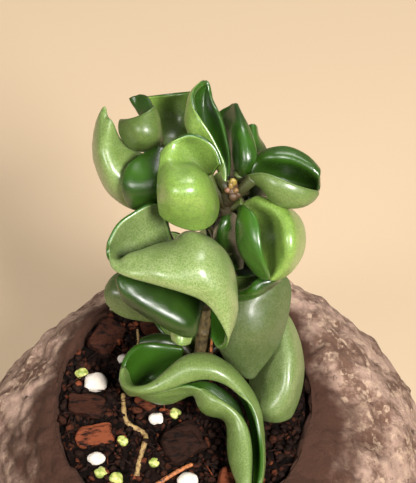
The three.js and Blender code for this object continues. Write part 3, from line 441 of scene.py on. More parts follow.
# The soil
# Dark, moist potting mix that fills the pocket up to a finger below the rim: fine humus in clods, with small
# bits of bark, fibre and grit all over its top.
SOIL_TOP = 106.5
SOIL_GAP = 0.3
SOIL_SIDES = 360
SOIL_SIDE_ROWS = 24
SOIL_TOP_ROWS = 180
# how far the soil's top edge stays in from the stone, and down
SOIL_EDGE_GAP = 0.4
SOIL_EDGE_DROP = 0.5
# height and size of each layer of lumps in the soil
SOIL_CLODS = [(0.8, 5.5), (0.45, 2.2), (0.25, 1.1)]
SOIL_GRAVEL_SIZE = 3.2
SOIL_GRAVEL_HEIGHT = 0.9
SOIL_SINKING = 0.4


def soil_height(x, y):
    """The soil's top: one long and one short wave over it."""
    long_wave = 0.9 * np.sin(x / 6 + 1) * np.cos(y / 5)
    return SOIL_TOP + long_wave + 0.5 * np.sin(x / 2.9 + y / 3.7)


def round_skin(rows, columns):
    """Triangles of a round skin: rows of vertices that close round, the first and the last one poles."""
    index = np.arange(rows * columns).reshape(rows, columns)
    index[0] = index[0, 0]
    index[-1] = index[-1, 0]
    return skin(closed_loop(index))


soil_insets = [(inset + SOIL_GAP, z) for inset, z in POCKET_WALL[1:]]
soil_wall = [(*(pocket - (0, 0, inset, inset)), z, 0, 0) for inset, z in soil_insets]
soil_bottom = (*POCKET_MIDDLE, 0, 0, POCKET_FLOOR + SOIL_GAP, 0, 0)
soil_edge = (*(pocket - (0, 0, SOIL_EDGE_GAP, SOIL_EDGE_GAP)), SOIL_TOP - SOIL_EDGE_DROP, 0, 0)
soil_middle = (*POCKET_MIDDLE, 0, 0, SOIL_TOP, 0, 0)
soil_side = blend_rows([soil_bottom, *reversed(soil_wall)], SOIL_SIDE_ROWS)
soil_top = blend_rows([soil_edge, soil_middle], SOIL_TOP_ROWS)
soil_points = on_rings(np.concatenate([soil_side, soil_top]), full_circle(SOIL_SIDES))
top_points = soil_points[len(soil_side):]
gravel = SOIL_GRAVEL_HEIGHT * domes(top_points, SOIL_GRAVEL_SIZE, 14, 0.6)
clods = layered_lumps(top_points, SOIL_CLODS, 11) + gravel - SOIL_SINKING
top_points[..., 2] = soil_height(top_points[..., 0], top_points[..., 1]) + clods

SOIL_BLACK = (0.003, 0.0018, 0.0014)
SOIL_BROWN = (0.008, 0.0035, 0.0024)
SOIL_RED = (0.035, 0.011, 0.006)
soil_material, tree, shader = new_material("moist_soil", 0.85)
shader.inputs["Specular IOR Level"].default_value = 0.08
soil_colour = mix(tree, ramp(tree, noise(tree, 3, 4), 0.4, 0.65), SOIL_BLACK, SOIL_BROWN)
_, bit_colour = grains(tree, 1.3)
red_bit = draw(tree, bit_colour, "Green")
soil_colour = mix(tree, ramp(tree, red_bit, 0.85, 0.9), soil_colour, SOIL_RED)
paint(tree, shader, soil_colour, ramp(tree, noise(tree, 2), 0.2, 0.5))
bump(tree, shader, noise(tree, 0.8, 5, 0.7), 0.5)
soil_triangles = round_skin(len(soil_points), SOIL_SIDES)
soil_piece = add_mesh("potting_soil", soil_points.reshape(-1, 3), soil_triangles, soil_material)
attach(soil_piece, "root")
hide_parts("soil")


# The mix on top of the soil
# Broken bark, puffed white perlite and knobbly yellow-green feed pellets lie half sunk in the soil, with
# crumbs and fibres of bark between them. Bark is fibrous and rough, and breaks along its grain.
BARK_CHIPS = {
    "orange": {"at": (-36.5, -9.5), "size": (13, 8, 4), "turn": 12, "tilt": 22, "red": 0.9},
    "dark_left": {"at": (-40, 2), "size": (13, 8, 4), "turn": -10, "tilt": 10, "red": 0.12},
    "upper_left": {"at": (-34, 30), "size": (15, 10, 4), "turn": 60, "tilt": 25, "red": 0.15},
    "upper": {"at": (-17, 37), "size": (12, 8, 4), "turn": 20, "tilt": -15, "red": 0.2},
    "red_front": {"at": (8, -28), "size": (9, 7, 4), "turn": 80, "tilt": 20, "red": 0.8},
    "red_middle": {"at": (-20, 3.5), "size": (8, 4, 3), "turn": -35, "tilt": 15, "red": 0.6},
    "brown_middle": {"at": (-7, -13), "size": (15, 12, 5), "turn": 35, "tilt": 12, "red": 0.03},
}
# each grain's x, y and half width
PERLITE_GRAINS = {
    "large_left": (-37, 12, 3.6), "middle": (-16, -2.5, 2.2), "far": (-28, 21.5, 1.8),
    "front": (-5.5, -27, 2.8), "front_left": (-35.5, -18.5, 2.4),
}
PELLETS = {
    "left": (-42, 15.5, 1.9), "middle": (-10, -0.5, 1.8), "centre_left": (-27, -11.5, 1.7),
    "front": (-16.5, -20.5, 1.5), "front_left": (-33.5, -24, 1.8), "front_far_left": (-28.5, -26.5, 2),
}
GRAIN_SQUASH = (1.15, 1, 0.85)
# how far knobs stand out, as a share of a grain's size
PERLITE_PUFF = 0.13
PELLET_PUFF = 0.2
# how far a grain's middle lies above the soil, as a share of its size
GRAIN_LIFT = 0.35
# the power that turns a ball into a box with round edges: 1 leaves it round
CHIP_BOXINESS = 0.42
CHIP_ROUGHNESS = 0.14
CHIP_SPLINTERS = 0.35


def ball_grid(rows, columns):
    """A round ball's directions and triangles: circles of latitude between a pole at each end."""
    latitude = np.linspace(-math.pi / 2, math.pi / 2, rows)
    latitude, longitude = np.meshgrid(latitude, full_circle(columns), indexing="ij")
    flat = np.stack([np.cos(longitude), np.sin(longitude)], -1) * np.cos(latitude)[..., None]
    directions = np.concatenate([flat, np.sin(latitude)[..., None]], -1)
    return directions.reshape(-1, 3), round_skin(rows, columns)


def turned(points, tilt, turn):
    """Points tilted about X, then turned about Z, in degrees."""
    cos_tilt, sin_tilt = math.cos(math.radians(tilt)), math.sin(math.radians(tilt))
    cos_turn, sin_turn = math.cos(math.radians(turn)), math.sin(math.radians(turn))
    about_x = np.array([[1, 0, 0], [0, cos_tilt, -sin_tilt], [0, sin_tilt, cos_tilt]])
    about_z = np.array([[cos_turn, -sin_turn, 0], [sin_turn, cos_turn, 0], [0, 0, 1]])
    return points @ about_x.T @ about_z.T


BARK_DARK = (0.003, 0.0016, 0.0012)
BARK_BROWN = (0.012, 0.0048, 0.003)
BARK_RED = (0.15, 0.038, 0.015)
bark_material, tree, shader = new_material("broken_bark", 0.8)
shader.inputs["Specular IOR Level"].default_value = 0.1
bark_colour = mix(tree, own_value(tree, "red"), BARK_BROWN, BARK_RED)
bark_streaks = ramp(tree, noise(tree, 1.6, 5, 0.65, (0.4, 1, 1)), 0.46, 0.66)
bark_colour = mix(tree, bark_streaks, bark_colour, BARK_DARK)
paint(tree, shader, bark_colour)
bump(tree, shader, noise(tree, 0.7, 4, 0.6, (0.3, 1, 1)), 0.4)
for number, (place, chip) in enumerate(BARK_CHIPS.items()):
    directions, chip_triangles = ball_grid(40, 60)
    boxy = np.sign(directions) * np.abs(directions) ** CHIP_BOXINESS
    half = np.array(chip["size"]) / 2
    broken = 1 - CHIP_ROUGHNESS / 2 + CHIP_ROUGHNESS * lumps(boxy * half, 3.1, 40 + number)
    chip_points = boxy * half * broken[:, None]
    chip_points[:, 2] += CHIP_SPLINTERS * lumps(chip_points * (0.25, 1, 1), 1.0, 50 + number)
    x, y = chip["at"]
    seat = (x, y, soil_height(x, y) + chip["size"][2] / 4)
    chip_points = turned(chip_points, chip["tilt"], chip["turn"]) + seat
    red = np.full(len(chip_points), chip["red"])
    chip_piece = add_mesh("rough_bark_" + place, chip_points, chip_triangles, bark_material, {"red": red})
    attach(chip_piece, "root")
    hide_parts("bark_chip_" + place)

PERLITE_WHITE = (0.6, 0.54, 0.47)
PERLITE_GREY = (0.5, 0.42, 0.34)
perlite_material, tree, shader = new_material("puffed_perlite", 0.9)
paint(tree, shader, mix(tree, ramp(tree, noise(tree, 0.9, 4), 0.5, 0.72), PERLITE_WHITE, PERLITE_GREY))
bump(tree, shader, noise(tree, 0.5, 4), 0.25)
PELLET_YELLOW = (0.42, 0.42, 0.13)
PELLET_GREEN = (0.17, 0.22, 0.04)
pellet_material, tree, shader = new_material("feed_pellet", 0.38)
paint(tree, shader, mix(tree, ramp(tree, noise(tree, 1.8, 3), 0.4, 0.62), PELLET_YELLOW, PELLET_GREEN))
bump(tree, shader, noise(tree, 0.6, 2), 0.05)


def add_grain(name, node, place, puff, material, seed):
    """A small ball, squashed, with knobs that stand out by a share of its size, half sunk in the soil."""
    directions, grain_triangles = ball_grid(26, 36)
    x, y, size = place
    knobs = lumps(directions, 0.8, seed) + 0.6 * (1 - nearest_grain(directions, 0.9, seed + 1) / 0.6)
    seat = (x, y, soil_height(x, y) + size * GRAIN_LIFT)
    points = directions * size * GRAIN_SQUASH * (1 + puff * knobs)[:, None] + seat
    piece = add_mesh(name, points, grain_triangles, material)
    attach(piece, "root")
    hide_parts(node)


for number, (place, grain) in enumerate(PERLITE_GRAINS.items()):
    name, node = "puffed_perlite_" + place, "perlite_" + place
    add_grain(name, node, grain, PERLITE_PUFF, perlite_material, 60 + number)
for number, (place, grain) in enumerate(PELLETS.items()):
    name, node = "feed_pellet_" + place, "pellet_" + place
    add_grain(name, node, grain, PELLET_PUFF, pellet_material, 70 + number)

# number, least and most length, and least and most thickness as a share of it
BITS = {"soil_crumbs": (900, (0.5, 2.0), (0.4, 0.9)), "soil_fibres": (220, (1.5, 4.5), (0.06, 0.12))}
BIT_LIFT = 0.5
RED_RARITY = 9
draws = np.random.default_rng(80)


def bits_on_soil(count, sizes, flatness):
    """Places, triangles and a redness each of many small chunks: balls of few corners, every corner moved at
    random, turned at random and strewn over the soil, their middles a little above its surface."""
    directions, bit_triangles = ball_grid(5, 6)
    out = np.sqrt(draws.uniform(0, 0.93, count))
    heading = draws.uniform(0, 2 * math.pi, count)
    x = POCKET_MIDDLE[0] + POCKET_RADII[0] * out * np.cos(heading)
    y = POCKET_MIDDLE[1] + POCKET_RADII[1] * out * np.sin(heading)
    middle = np.stack([x, y, soil_height(x, y) + BIT_LIFT], axis=1)
    lengths = draws.uniform(*sizes, count)[:, None]
    lengths = lengths * np.stack([np.ones(count), *draws.uniform(*flatness, (2, count))], 1)
    turn = draws.uniform(0, 2 * math.pi, count)
    shape = directions * draws.uniform(0.7, 1.25, (count, len(directions), 1)) * lengths[:, None]
    cosine, sine = np.cos(turn)[:, None], np.sin(turn)[:, None]
    lean = draws.uniform(-0.35, 0.35, count)[:, None] * shape[..., 0]
    turned_x = shape[..., 0] * cosine - shape[..., 1] * sine
    turned_y = shape[..., 0] * sine + shape[..., 1] * cosine
    points = np.stack([turned_x, turned_y, shape[..., 2] + lean], -1) + middle[:, None]
    triangles = bit_triangles + (np.arange(count) * len(directions))[:, None, None]
    redness = np.repeat(draws.uniform(0, 1, count) ** RED_RARITY, len(directions))
    return points.reshape(-1, 3), triangles.reshape(-1, 3), redness


for name, (count, sizes, flatness) in BITS.items():
    bit_points, bit_triangles, redness = bits_on_soil(count, sizes, flatness)
    bits_piece = add_mesh(name, bit_points, bit_triangles, bark_material, {"red": redness})
    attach(bits_piece, "root")


# The stem
# One upright woody stem, tan and corky below and browner towards the crown, with a ring-shaped swelling where
# each pair of leaves is or was. Its root end is deep in the soil.
STEM_COURSE = [
    (-3.4, -60, -80), (-2.9, -49, -71), (-2.6, -42.2, -62), (-1.8, -31, -50),
    (-0.3, -19, -38), (1.8, -6.2, -24), (4.2, 5, -12), (6.6, 15.5, -1.5),
]
STEM_ROOT_RADIUS = 2.6
STEM_TIP_RADIUS = 1.7
STEM_ROWS = 260
STEM_SIDES = 40
STEM_CORK = 0.16
UNDER_SOIL_SHARE = 0.16
NODE_HEIGHTS = [0.08, 0.22, 0.36, 0.5, 0.62, 0.74, 0.84, 0.92, 0.98]
NODE_SWELLING = 0.45
NODE_LENGTH = 0.013


def even_course(points, count):
    """Points evenly spaced by length on a natural spline through these."""
    fine = blend_rows(points, 40 * len(points))
    length = np.concatenate([[0], np.cumsum(np.linalg.norm(np.diff(fine, axis=0), axis=1))])
    places = np.linspace(0, length[-1], count)
    return np.stack([np.interp(places, length, fine[:, axis]) for axis in range(3)], 1)


def tube(course, radii, sides):
    """Places, triangles and shares of the length of a round skin: circles round the course's points, each
    across the course there, with a pole at each end."""
    tangent = unit(np.gradient(course, axis=0))
    tangent = np.concatenate([tangent[:1], tangent, tangent[-1:]])
    course = np.concatenate([course[:1], course, course[-1:]])
    radii = np.concatenate([[0], radii, [0]])
    across = np.eye(3)[np.argmin(np.abs(course[-1] - course[0]))]
    first = unit(np.cross(tangent, across))
    second = np.cross(tangent, first)
    turn = full_circle(sides)
    ring = np.cos(turn)[:, None] * first[:, None] + np.sin(turn)[:, None] * second[:, None]
    points = course[:, None] + radii[:, None, None] * ring
    share = np.repeat(np.linspace(0, 1, len(course)), sides)
    return points.reshape(-1, 3), round_skin(len(course), sides), share


stem_line = even_course(seen(STEM_COURSE), STEM_ROWS)


def stem_point(height):
    """The stem's middle at a height from 0 at the soil to 1 at the tip."""
    share = UNDER_SOIL_SHARE + (1 - UNDER_SOIL_SHARE) * height
    shares = np.linspace(0, 1, len(stem_line))
    return np.array([np.interp(share, shares, stem_line[:, axis]) for axis in range(3)])


def stem_radius(height):
    """The stem's radius at that height: an even taper."""
    return STEM_ROOT_RADIUS + (STEM_TIP_RADIUS - STEM_ROOT_RADIUS) * height


stem_heights = (np.linspace(0, 1, len(stem_line)) - UNDER_SOIL_SHARE) / (1 - UNDER_SOIL_SHARE)
from_nodes = [(stem_heights - height) / NODE_LENGTH for height in NODE_HEIGHTS]
swelling = sum(NODE_SWELLING * np.exp(-(distance**2)) for distance in from_nodes)
stem_points, stem_triangles, stem_share = tube(stem_line, stem_radius(stem_heights) + swelling, STEM_SIDES)
stem_points = stem_points + STEM_CORK * lumps(stem_points, 1.6, 21)[:, None] * np.array([1, 1, 0.3])
STEM_TAN = (0.085, 0.06, 0.02)
STEM_BROWN = (0.016, 0.009, 0.004)
STEM_OLIVE = (0.028, 0.021, 0.006)
stem_material, tree, shader = new_material("corky_stem", 0.6)
stem_colour = mix(tree, ramp(tree, own_value(tree, "share"), 0.35, 0.9), STEM_TAN, STEM_OLIVE)
stem_streaks = ramp(tree, noise(tree, 1.2, 5, 0.65, (1, 1, 0.35)), 0.42, 0.68)
stem_colour = mix(tree, stem_streaks, stem_colour, STEM_BROWN)
paint(tree, shader, stem_colour)
bump(tree, shader, noise(tree, 0.5, 4, 0.6, (1, 1, 0.25)), 0.25)
stem_piece = add_mesh("woody_stem", stem_points, stem_triangles, stem_material, {"share": stem_share})
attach(stem_piece, "root")
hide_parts("stem")


# The roots, the twig and the old stalk
# Two thin surface roots wind over the soil, a broken twig lies across it, and the thin bare stalk of a shed
# leaf stands beside the stem.
ROD_ROWS = 70
ROD_SIDES = 14
# radius, and the x and y of the points that each passes
ROOT_COURSES = {
    "root_winding": (
        0.85, [(-27.5, 7), (-26.5, -3), (-23.5, -6.5), (-20, -9), (-19.5, -12.5), (-21, -19), (-22, -25)]
    ),
    "root_thin_far": (0.5, [(-23.5, 34), (-23, 29), (-23.5, 24)]),
    "twig": (0.8, [(-4, -20.5), (-10, -24.5), (-17, -29)]),
}
OLD_STALK_RADIUS = 0.5
OLD_STALK_COURSE = [(1.2, -50, -66), (0.8, -41, -54), (0.9, -33, -46), (1.6, -26, -40.5)]
ROOT_TAN = (0.3, 0.2, 0.075)
ROOT_BROWN = (0.1, 0.045, 0.015)
TWIG_ORANGE = (0.34, 0.11, 0.03)


def streaked_material(name, light, dark):
    """Dull bark of a thin root or twig: a light colour with dark streaks along it."""
    material, tree, shader = new_material(name, 0.65)
    paint(tree, shader, mix(tree, ramp(tree, noise(tree, 1.3, 5, 0.65), 0.45, 0.65), light, dark))
    bump(tree, shader, noise(tree, 0.4, 3), 0.15)
    return material


def add_rod(name, node, course, radius, material, seed):
    """A round rod with a knobbly skin along a course, for the CAD node of that name."""
    line = even_course(course, ROD_ROWS)
    thickness = radius * (1 + 0.16 * lumps(line, 2.5, seed))
    points, triangles, _ = tube(line, thickness, ROD_SIDES)
    points = points + 0.07 * lumps(points, 0.8, seed + 1)[:, None]
    piece = add_mesh(name, points, triangles, material)
    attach(piece, "root")
    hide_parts(node)


root_material = streaked_material("root_skin", ROOT_TAN, ROOT_BROWN)
twig_material = streaked_material("orange_twig", TWIG_ORANGE, BARK_BROWN)
for number, (node, (radius, course)) in enumerate(ROOT_COURSES.items()):
    x, y = np.array(course, float).T
    lying = np.stack([x, y, soil_height(x, y) + radius], axis=1)
    rod_material, slot_name = (twig_material, "bark") if node == "twig" else (root_material, "root_skin")
    add_rod("knobbly_" + node, node, lying, radius, rod_material, 90 + 2 * number)
add_rod("dry_stalk", "old_stalk", seen(OLD_STALK_COURSE), OLD_STALK_RADIUS, twig_material, 98)


# The leaves
# Thick waxy leaves, folded and curled, each on its own short woody petiole. The underside is pale yellow-
# green with fine dark specks, the upper side is deep green and glossy, and the rounded margin carries a dark
# line. Folds have painted shade inside, and their wax is thinner.

# A sheet is given by its ribs, from the petiole or a fold onwards, each as points across the leaf. Its pale
# side is 1 where along cross across points to the underside, and -1 where it points to the upper side. The
# tones, from 0 to 1, say how fresh the underside is, how deep the upper side's green, and how much painted
# shade darkens the leaf, for leaves that stand in the plant's shade, and thins its wax.
# "at" is the petiole's height on the stem, from 0 at the soil to 1 at the tip.
LEAVES = {
    "far_left": {"at": 0.82, "pale_side": (-1,), "tones": (0.4, 1, 0.17), "petiole": [
        (-0.9, 7.3, -18), (-10.8, 10.7, -17), (-18.9, 14.5, -13),
    ], "sheets": [[
        [(-17.4, 12.4, -25), (-17.4, 10.9, -19), (-17.4, 14.8, -14), (-17.4, 19.9, -13), (-16.8, 25.3, -16)],
        [(-22.2, 11.8, -27), (-22.2, 10.3, -18), (-21.6, 14.5, -11), (-21, 20.8, -11), (-19.8, 26.2, -18)],
        [(-27, 14.2, -27), (-28.8, 14.5, -17), (-27.3, 17.2, -9), (-25.2, 22.6, -9.5), (-23.7, 28.3, -16)],
        [(-30.9, 20.8, -27), (-32.7, 20.8, -18), (-31.5, 22.9, -9), (-29.1, 26.6, -8.5), (-27, 31.6, -14)],
        [(-32.7, 28.1, -25), (-34.2, 28.3, -18), (-33, 29.5, -11), (-30.9, 31.3, -9), (-28.8, 35.9, -12)],
        [(-32.1, 34.9, -20), (-33, 35.2, -17), (-32.1, 35.9, -14), (-31.2, 36.1, -13), (-30, 37.6, -14)],
        [(-31.2, 40, -15), (-31, 40.2, -15), (-30.9, 40.4, -15), (-30.8, 40.4, -15), (-30.6, 40, -15)],
    ]]},
    "notched": {"at": 0.91, "pale_side": (-1, 1), "tones": (0.8, 0.6, 0.6), "petiole": [
        (-0.9, 16.6, -17), (-8.4, 22.6, -16), (-15.6, 28.9, -10),
    ], "sheets": [[
        [(-17.4, 27.1, -16), (-15.9, 27.8, -13), (-14.7, 28.6, -11), (-13.8, 29.8, -12), (-13.5, 30.8, -14)],
        [(-23.4, 28.6, -14), (-21, 28.9, -8), (-18, 30.4, -5), (-15.3, 32.2, -6), (-14.4, 33.4, -11)],
        [(-26.4, 33.1, -13), (-23.7, 33.1, -6), (-20.1, 34.4, -3), (-16.5, 36.1, -5), (-15, 37.4, -9)],
        [(-26.1, 36.8, -12), (-23.7, 36.8, -7), (-20.7, 37.6, -5), (-18, 39.4, -5), (-16.5, 40.9, -8)],
    ], [
        [(-20.1, 37.4, -9), (-17.7, 38.5, -5), (-15.9, 39.1, -7)],
        [(-21.6, 39.4, -11), (-19.5, 40.4, -10), (-16.8, 41.5, -9)],
        [(-22.8, 41.2, -12), (-20.7, 42.4, -13), (-18.3, 43.6, -11)],
        [(-23.7, 43, -13), (-22.2, 43.6, -14), (-20.4, 44.2, -13)],
    ]]},
    "back_blur": {"at": 0.965, "pale_side": (-1,), "tones": (1, 0.6, 0), "petiole": [
        (1.5, 18.1, -17), (-4.8, 24.4, -27), (-9, 28.3, -27.5),
    ], "sheets": [[
        [(-15, 26.8, -22), (-12, 26.2, -25), (-8.4, 26.2, -25), (-5.4, 26.8, -22)],
        [(-17.7, 31, -24), (-13.5, 30.8, -31), (-7.8, 31, -32), (-3.3, 31.6, -27)],
        [(-18.6, 37.9, -24), (-13.8, 37.6, -33), (-7.5, 37.9, -34), (-2.4, 38.5, -27)],
        [(-18.6, 43.6, -24), (-13.8, 44.1, -30), (-8.4, 44.7, -31), (-3, 45.3, -27)],
    ]]},
    "centre_tall": {"at": 1, "pale_side": (1,), "tones": (1, 0.6, 0.1), "petiole": [
        (4.8, 16.9, -0.5), (3.6, 19.9, -2),
    ], "sheets": [[
        [(5.7, 17.6, 0), (4.8, 17.8, 0), (4.2, 18.8, -1), (5.1, 19.6, -4), (6.3, 19.6, -4)],
        [(5.7, 21.8, 0), (4.2, 22.1, -1), (2.4, 22.9, -4), (4.2, 24.4, -8), (6.6, 25.1, -6)],
        [(3.9, 26.8, 0), (0.9, 27.1, -1.5), (-2.4, 27.8, -6), (0.9, 29.8, -11), (5.7, 30.4, -7)],
        [(0.6, 33.1, 1), (-2.4, 33.4, 0), (-6, 34, -5), (-1.2, 35.9, -13), (4.2, 36.1, -8)],
        [(-3, 38.2, 1), (-4.2, 38.5, 0), (-6, 39.4, -6), (-1.8, 40.9, -14), (2.4, 40, -9)],
        [(-4.5, 43.6, -3), (-4.8, 43.9, -5), (-4.2, 44.9, -8), (-1.5, 45.8, -13), (1.2, 43.6, -12)],
        [(-1.5, 47.9, -10), (-1.1, 48.1, -11), (-0.6, 48.3, -12), (-0.1, 48.1, -12), (0.3, 47.9, -12)],
    ]]},
    "dark_right": {"at": 0.985, "pale_side": (1,), "petiole": [
        (8.7, 17.2, -6), (9.6, 20.6, -3),
    ], "sheets": [[
        [(6, 18.4, -11), (7.8, 17.8, -8), (9.9, 18.4, -5), (11.7, 19.6, -4)],
        [(5, 23.2, -13), (7.2, 22.6, -9), (10.2, 22.3, -0.5), (13.8, 23.6, -1)],
        [(4, 28.6, -15), (6.6, 28.3, -11), (9.9, 28.1, 0), (14.4, 27.1, -1)],
        [(3.3, 34.4, -17), (5.7, 33.8, -12.5), (9.3, 33.4, -2), (12.6, 32.9, -4)],
        [(3.1, 38.5, -17), (6.3, 37.9, -13), (8.7, 37.6, -7), (10.8, 37, -7)],
        [(7.5, 41.2, -13), (7.8, 41.4, -13), (8.4, 41.4, -12), (8.7, 41.2, -12)],
    ]]},
    "small_back_tip": {"at": 0.86, "pale_side": (1,), "petiole": [
        (8.4, 13.7, -17), (12, 15.4, -20),
    ], "sheets": [[
        [(9.6, 12.2, -22), (11.7, 11.2, -20.5), (14.7, 11.2, -21), (17.7, 12.8, -24)],
        [(9.3, 17.6, -23), (11.4, 16.9, -19), (14.7, 16.9, -19.5), (17.7, 18.1, -24)],
        [(10.5, 23.8, -23), (12, 23.2, -19), (14.1, 23.2, -20), (16.8, 23.8, -24)],
        [(10.8, 28.1, -24), (12.3, 28.1, -19), (14.7, 27.8, -20), (17.4, 27.4, -24)],
        [(11.4, 31.6, -24), (12.6, 31.6, -20), (14.1, 31.6, -20), (15, 31, -24)],
        [(12.3, 34.9, -23), (12.9, 35.2, -21), (13.8, 35.2, -21), (14.4, 34.6, -23)],
    ]]},
    "clam_right": {"at": 0.95, "pale_side": (-1,), "tones": (0.6, 0.9, 0.45), "petiole": [
        (9.6, 15.1, -1), (13.5, 18.8, 1.5),
    ], "sheets": [[
        [(11.7, 19.9, 0), (11.7, 19.1, 0), (12.3, 18.4, -2), (12.6, 19.3, -4), (12.3, 20.8, -4),
         (12, 21.8, -4)],
        [(14.7, 20.8, 4), (15.3, 18.4, 4), (16.5, 16.3, 0), (16.5, 19.6, -7), (15.3, 23.6, -4),
         (14.7, 25.9, -6)],
        [(18.9, 20.1, 7), (19.5, 15.8, 7), (20.1, 12.2, -1), (20.4, 19.3, -11), (19.5, 24.4, -2),
         (19.2, 27.9, -5)],
        [(24.6, 17.8, 8), (25.2, 13.7, 7), (25.8, 10.7, -1), (25.5, 18.1, -12), (24.6, 23.8, -2),
         (24.3, 28.1, -5)],
        [(29.4, 16.1, 6), (30, 13.3, 5), (30.6, 12.2, -1), (30.6, 17.2, -9), (30, 21.8, -1), (30, 25.3, -4)],
        [(32.4, 15.3, 2), (33, 14.8, 1), (33, 15.1, -1), (33.4, 16.3, -5), (33.6, 19.1, -1),
         (33.6, 21.1, -3)],
    ]]},
    "cup_centre": {"at": 0.93, "pale_side": (1,), "tones": (1, 1, 0), "petiole": [
        (2.4, 15.4, -3), (-0.3, 19.6, -1.5),
    ], "sheets": [[
        [(3.9, 22.9, 4.5), (3, 22.1, 1), (1.5, 19.3, -4.5), (2.1, 15.4, -4), (2.9, 10.9, -5), (2.1, 7, -7)],
        [(2.1, 28.1, 5.5), (0.9, 24.4, 0.5), (-0.9, 20.6, -4), (0, 18.8, 1), (0.9, 12.4, 7), (0.6, 5.1, -3)],
        [(-1.8, 31.3, 6), (-2.4, 27.1, 0.5), (-3.6, 22.9, -2), (-3.6, 21.1, 7), (-3, 14.2, 14),
         (-2.7, 3.6, -1)],
        [(-6.3, 32.1, 5), (-6.9, 28.1, 1), (-7.8, 23.6, 1.5), (-7.8, 21.4, 9), (-7.8, 14.2, 15.5),
         (-7.2, 4.2, 0)],
        [(-10.8, 30.1, 3), (-11.1, 27.1, 3.5), (-11.7, 23.8, 5), (-12, 20.8, 9.5), (-12, 14.2, 13),
         (-11.1, 5.8, 2)],
        [(-14.1, 26.6, 1), (-14.4, 24.1, 3), (-14.7, 21.4, 4), (-14.8, 18.4, 5), (-14.8, 13.3, 5),
         (-14.4, 8.2, 2)],
    ]]},
    "dark_left": {"at": 0.87, "pale_side": (-1,), "tones": (0.5, 1, 0.35), "petiole": [
        (-0.9, 11.2, -14), (-6.9, 15.4, -12), (-11.4, 18.4, -7),
    ], "sheets": [[
        [(-9.6, 25.1, -12), (-10.2, 21.4, -9), (-10.2, 16.9, -8), (-9.6, 13, -12)],
        [(-13.5, 28.3, -8), (-14.1, 22.9, -4), (-14.1, 16.3, -2.5), (-13.5, 11.2, -10)],
        [(-18.3, 26.8, -8.5), (-18.9, 22.1, -4), (-18.6, 15.4, -2), (-17.7, 10.3, -10)],
        [(-22.5, 24.1, -6.5), (-23.1, 20.6, -3.5), (-22.8, 15.1, -3), (-21.9, 9.8, -9)],
        [(-24.6, 21.1, -5.5), (-25.2, 18.4, -4), (-25.5, 15.1, -5), (-24.3, 12.2, -7.5)],
    ]]},
    "cap_front": {"at": 0.62, "pale_side": (1,), "tones": (0.1, 0.6, 0.05), "petiole": [
        (0.3, -12.2, -18),
    ], "sheets": [[
        [(-0.6, -7.9, -17), (-0.3, -8.8, -17.5), (0, -10, -18), (0.6, -13, -18), (0.9, -16.9, -17),
         (0.9, -22.9, -14), (0.9, -28.9, -9)],
        [(1.2, -3.4, -15), (2.4, -3.8, -14.5), (3.6, -4.3, -13), (6, -7.9, -12), (7.2, -14.5, -11),
         (7, -22.9, -8), (3.3, -32.2, -6)],
        [(-1.2, -1.6, -13), (-0.3, -0.8, -10), (1.2, -0.1, -6), (5.1, -4.6, -2), (7.5, -13.3, 0),
         (7.3, -22.1, 1), (5.5, -29.8, -1)],
        [(-5.4, -2.2, -15), (-5.4, -0.8, -13), (-3.9, 2.1, -5), (-0.3, -0.8, 4), (3.3, -9.2, 8),
         (4.2, -18.1, 7), (3.8, -24.1, 3)],
        [(-10.8, 1.6, -14), (-10.2, -2.9, -16), (-8.7, 0.9, -6), (-6.3, -0.1, 3), (-3, -7, 11),
         (-0.6, -14.2, 10), (-0.6, -18.4, 6)],
        [(-14.4, 11.2, -6), (-12.9, 4.3, -13), (-11.4, -3.1, -15), (-13.5, -0.9, -2), (-10.2, -6.1, 9),
         (-8.4, -11.8, 11), (-7.5, -15.1, 8)],
        [(-21.3, 9.3, -2), (-19.5, 2.9, -10), (-17.1, -4.6, -13), (-18.9, -2.7, -1), (-17.4, -6.1, 7),
         (-16.2, -10, 9), (-15.6, -12.8, 7)],
        [(-26.4, 5.8, -1), (-25.5, 0.1, -7), (-23.1, -5.5, -8), (-24, -4.6, 0), (-23.4, -7, 4),
         (-22.5, -9.4, 6), (-21.6, -11.2, 5)],
        [(-29.1, 1.6, -1), (-28.2, -1.6, -5), (-27, -5.2, -6), (-26.7, -6.1, -1), (-26.7, -7.3, 2),
         (-26.1, -8.7, 3.5), (-25.2, -10, 3.5)],
        [(-30.1, -0.8, -1), (-30.3, -2.2, -2), (-30.2, -3.8, -2), (-30, -5, -1), (-29.5, -6.3, 0),
         (-28.8, -7.6, 1), (-27.8, -8.8, 2)],
    ]]},
    "cap_inside": {"at": 0.52, "pale_side": (-1,), "tones": (0.2, 1, 0.65), "petiole": [
        (-1.5, -18.4, -22),
    ], "sheets": [[
        [(-1.2, -15.1, -22), (-1.5, -17.8, -22), (-2.4, -20.8, -20), (-3.6, -24.8, -16)],
        [(-3.9, -15.1, -15), (-4.2, -19.9, -12), (-5, -24.8, -9), (-5.1, -28.6, -12)],
        [(-10.8, -12.2, -11), (-11.7, -16.9, -8), (-12.9, -22.1, -6), (-12.6, -25.9, -10)],
        [(-18.3, -10, -8), (-19.5, -13.9, -5), (-21, -17.8, -4), (-21, -20.8, -8)],
        [(-23.7, -9.2, -6), (-24.9, -11.8, -4), (-25.8, -14.5, -4), (-25.2, -17.1, -7)],
        [(-27, -9.8, -5), (-27, -10.3, -5), (-27, -10.9, -5), (-26.7, -11.5, -5)],
    ]]},
    "small_tip": {"at": 0.47, "pale_side": (1,), "petiole": [
        (-5.1, -19.9, -22),
    ], "sheets": [[
        [(-6.6, -19.1, -22), (-5.1, -19.3, -22), (-3.6, -19.9, -22)],
        [(-9.3, -23.6, -20), (-6.9, -23.8, -17), (-4.2, -24.1, -20)],
        [(-10.8, -26.8, -18), (-8.1, -27.8, -14), (-4.8, -28.3, -18)],
        [(-10.5, -29.8, -17), (-8.1, -31.3, -14), (-5.7, -30.8, -17)],
    ]]},
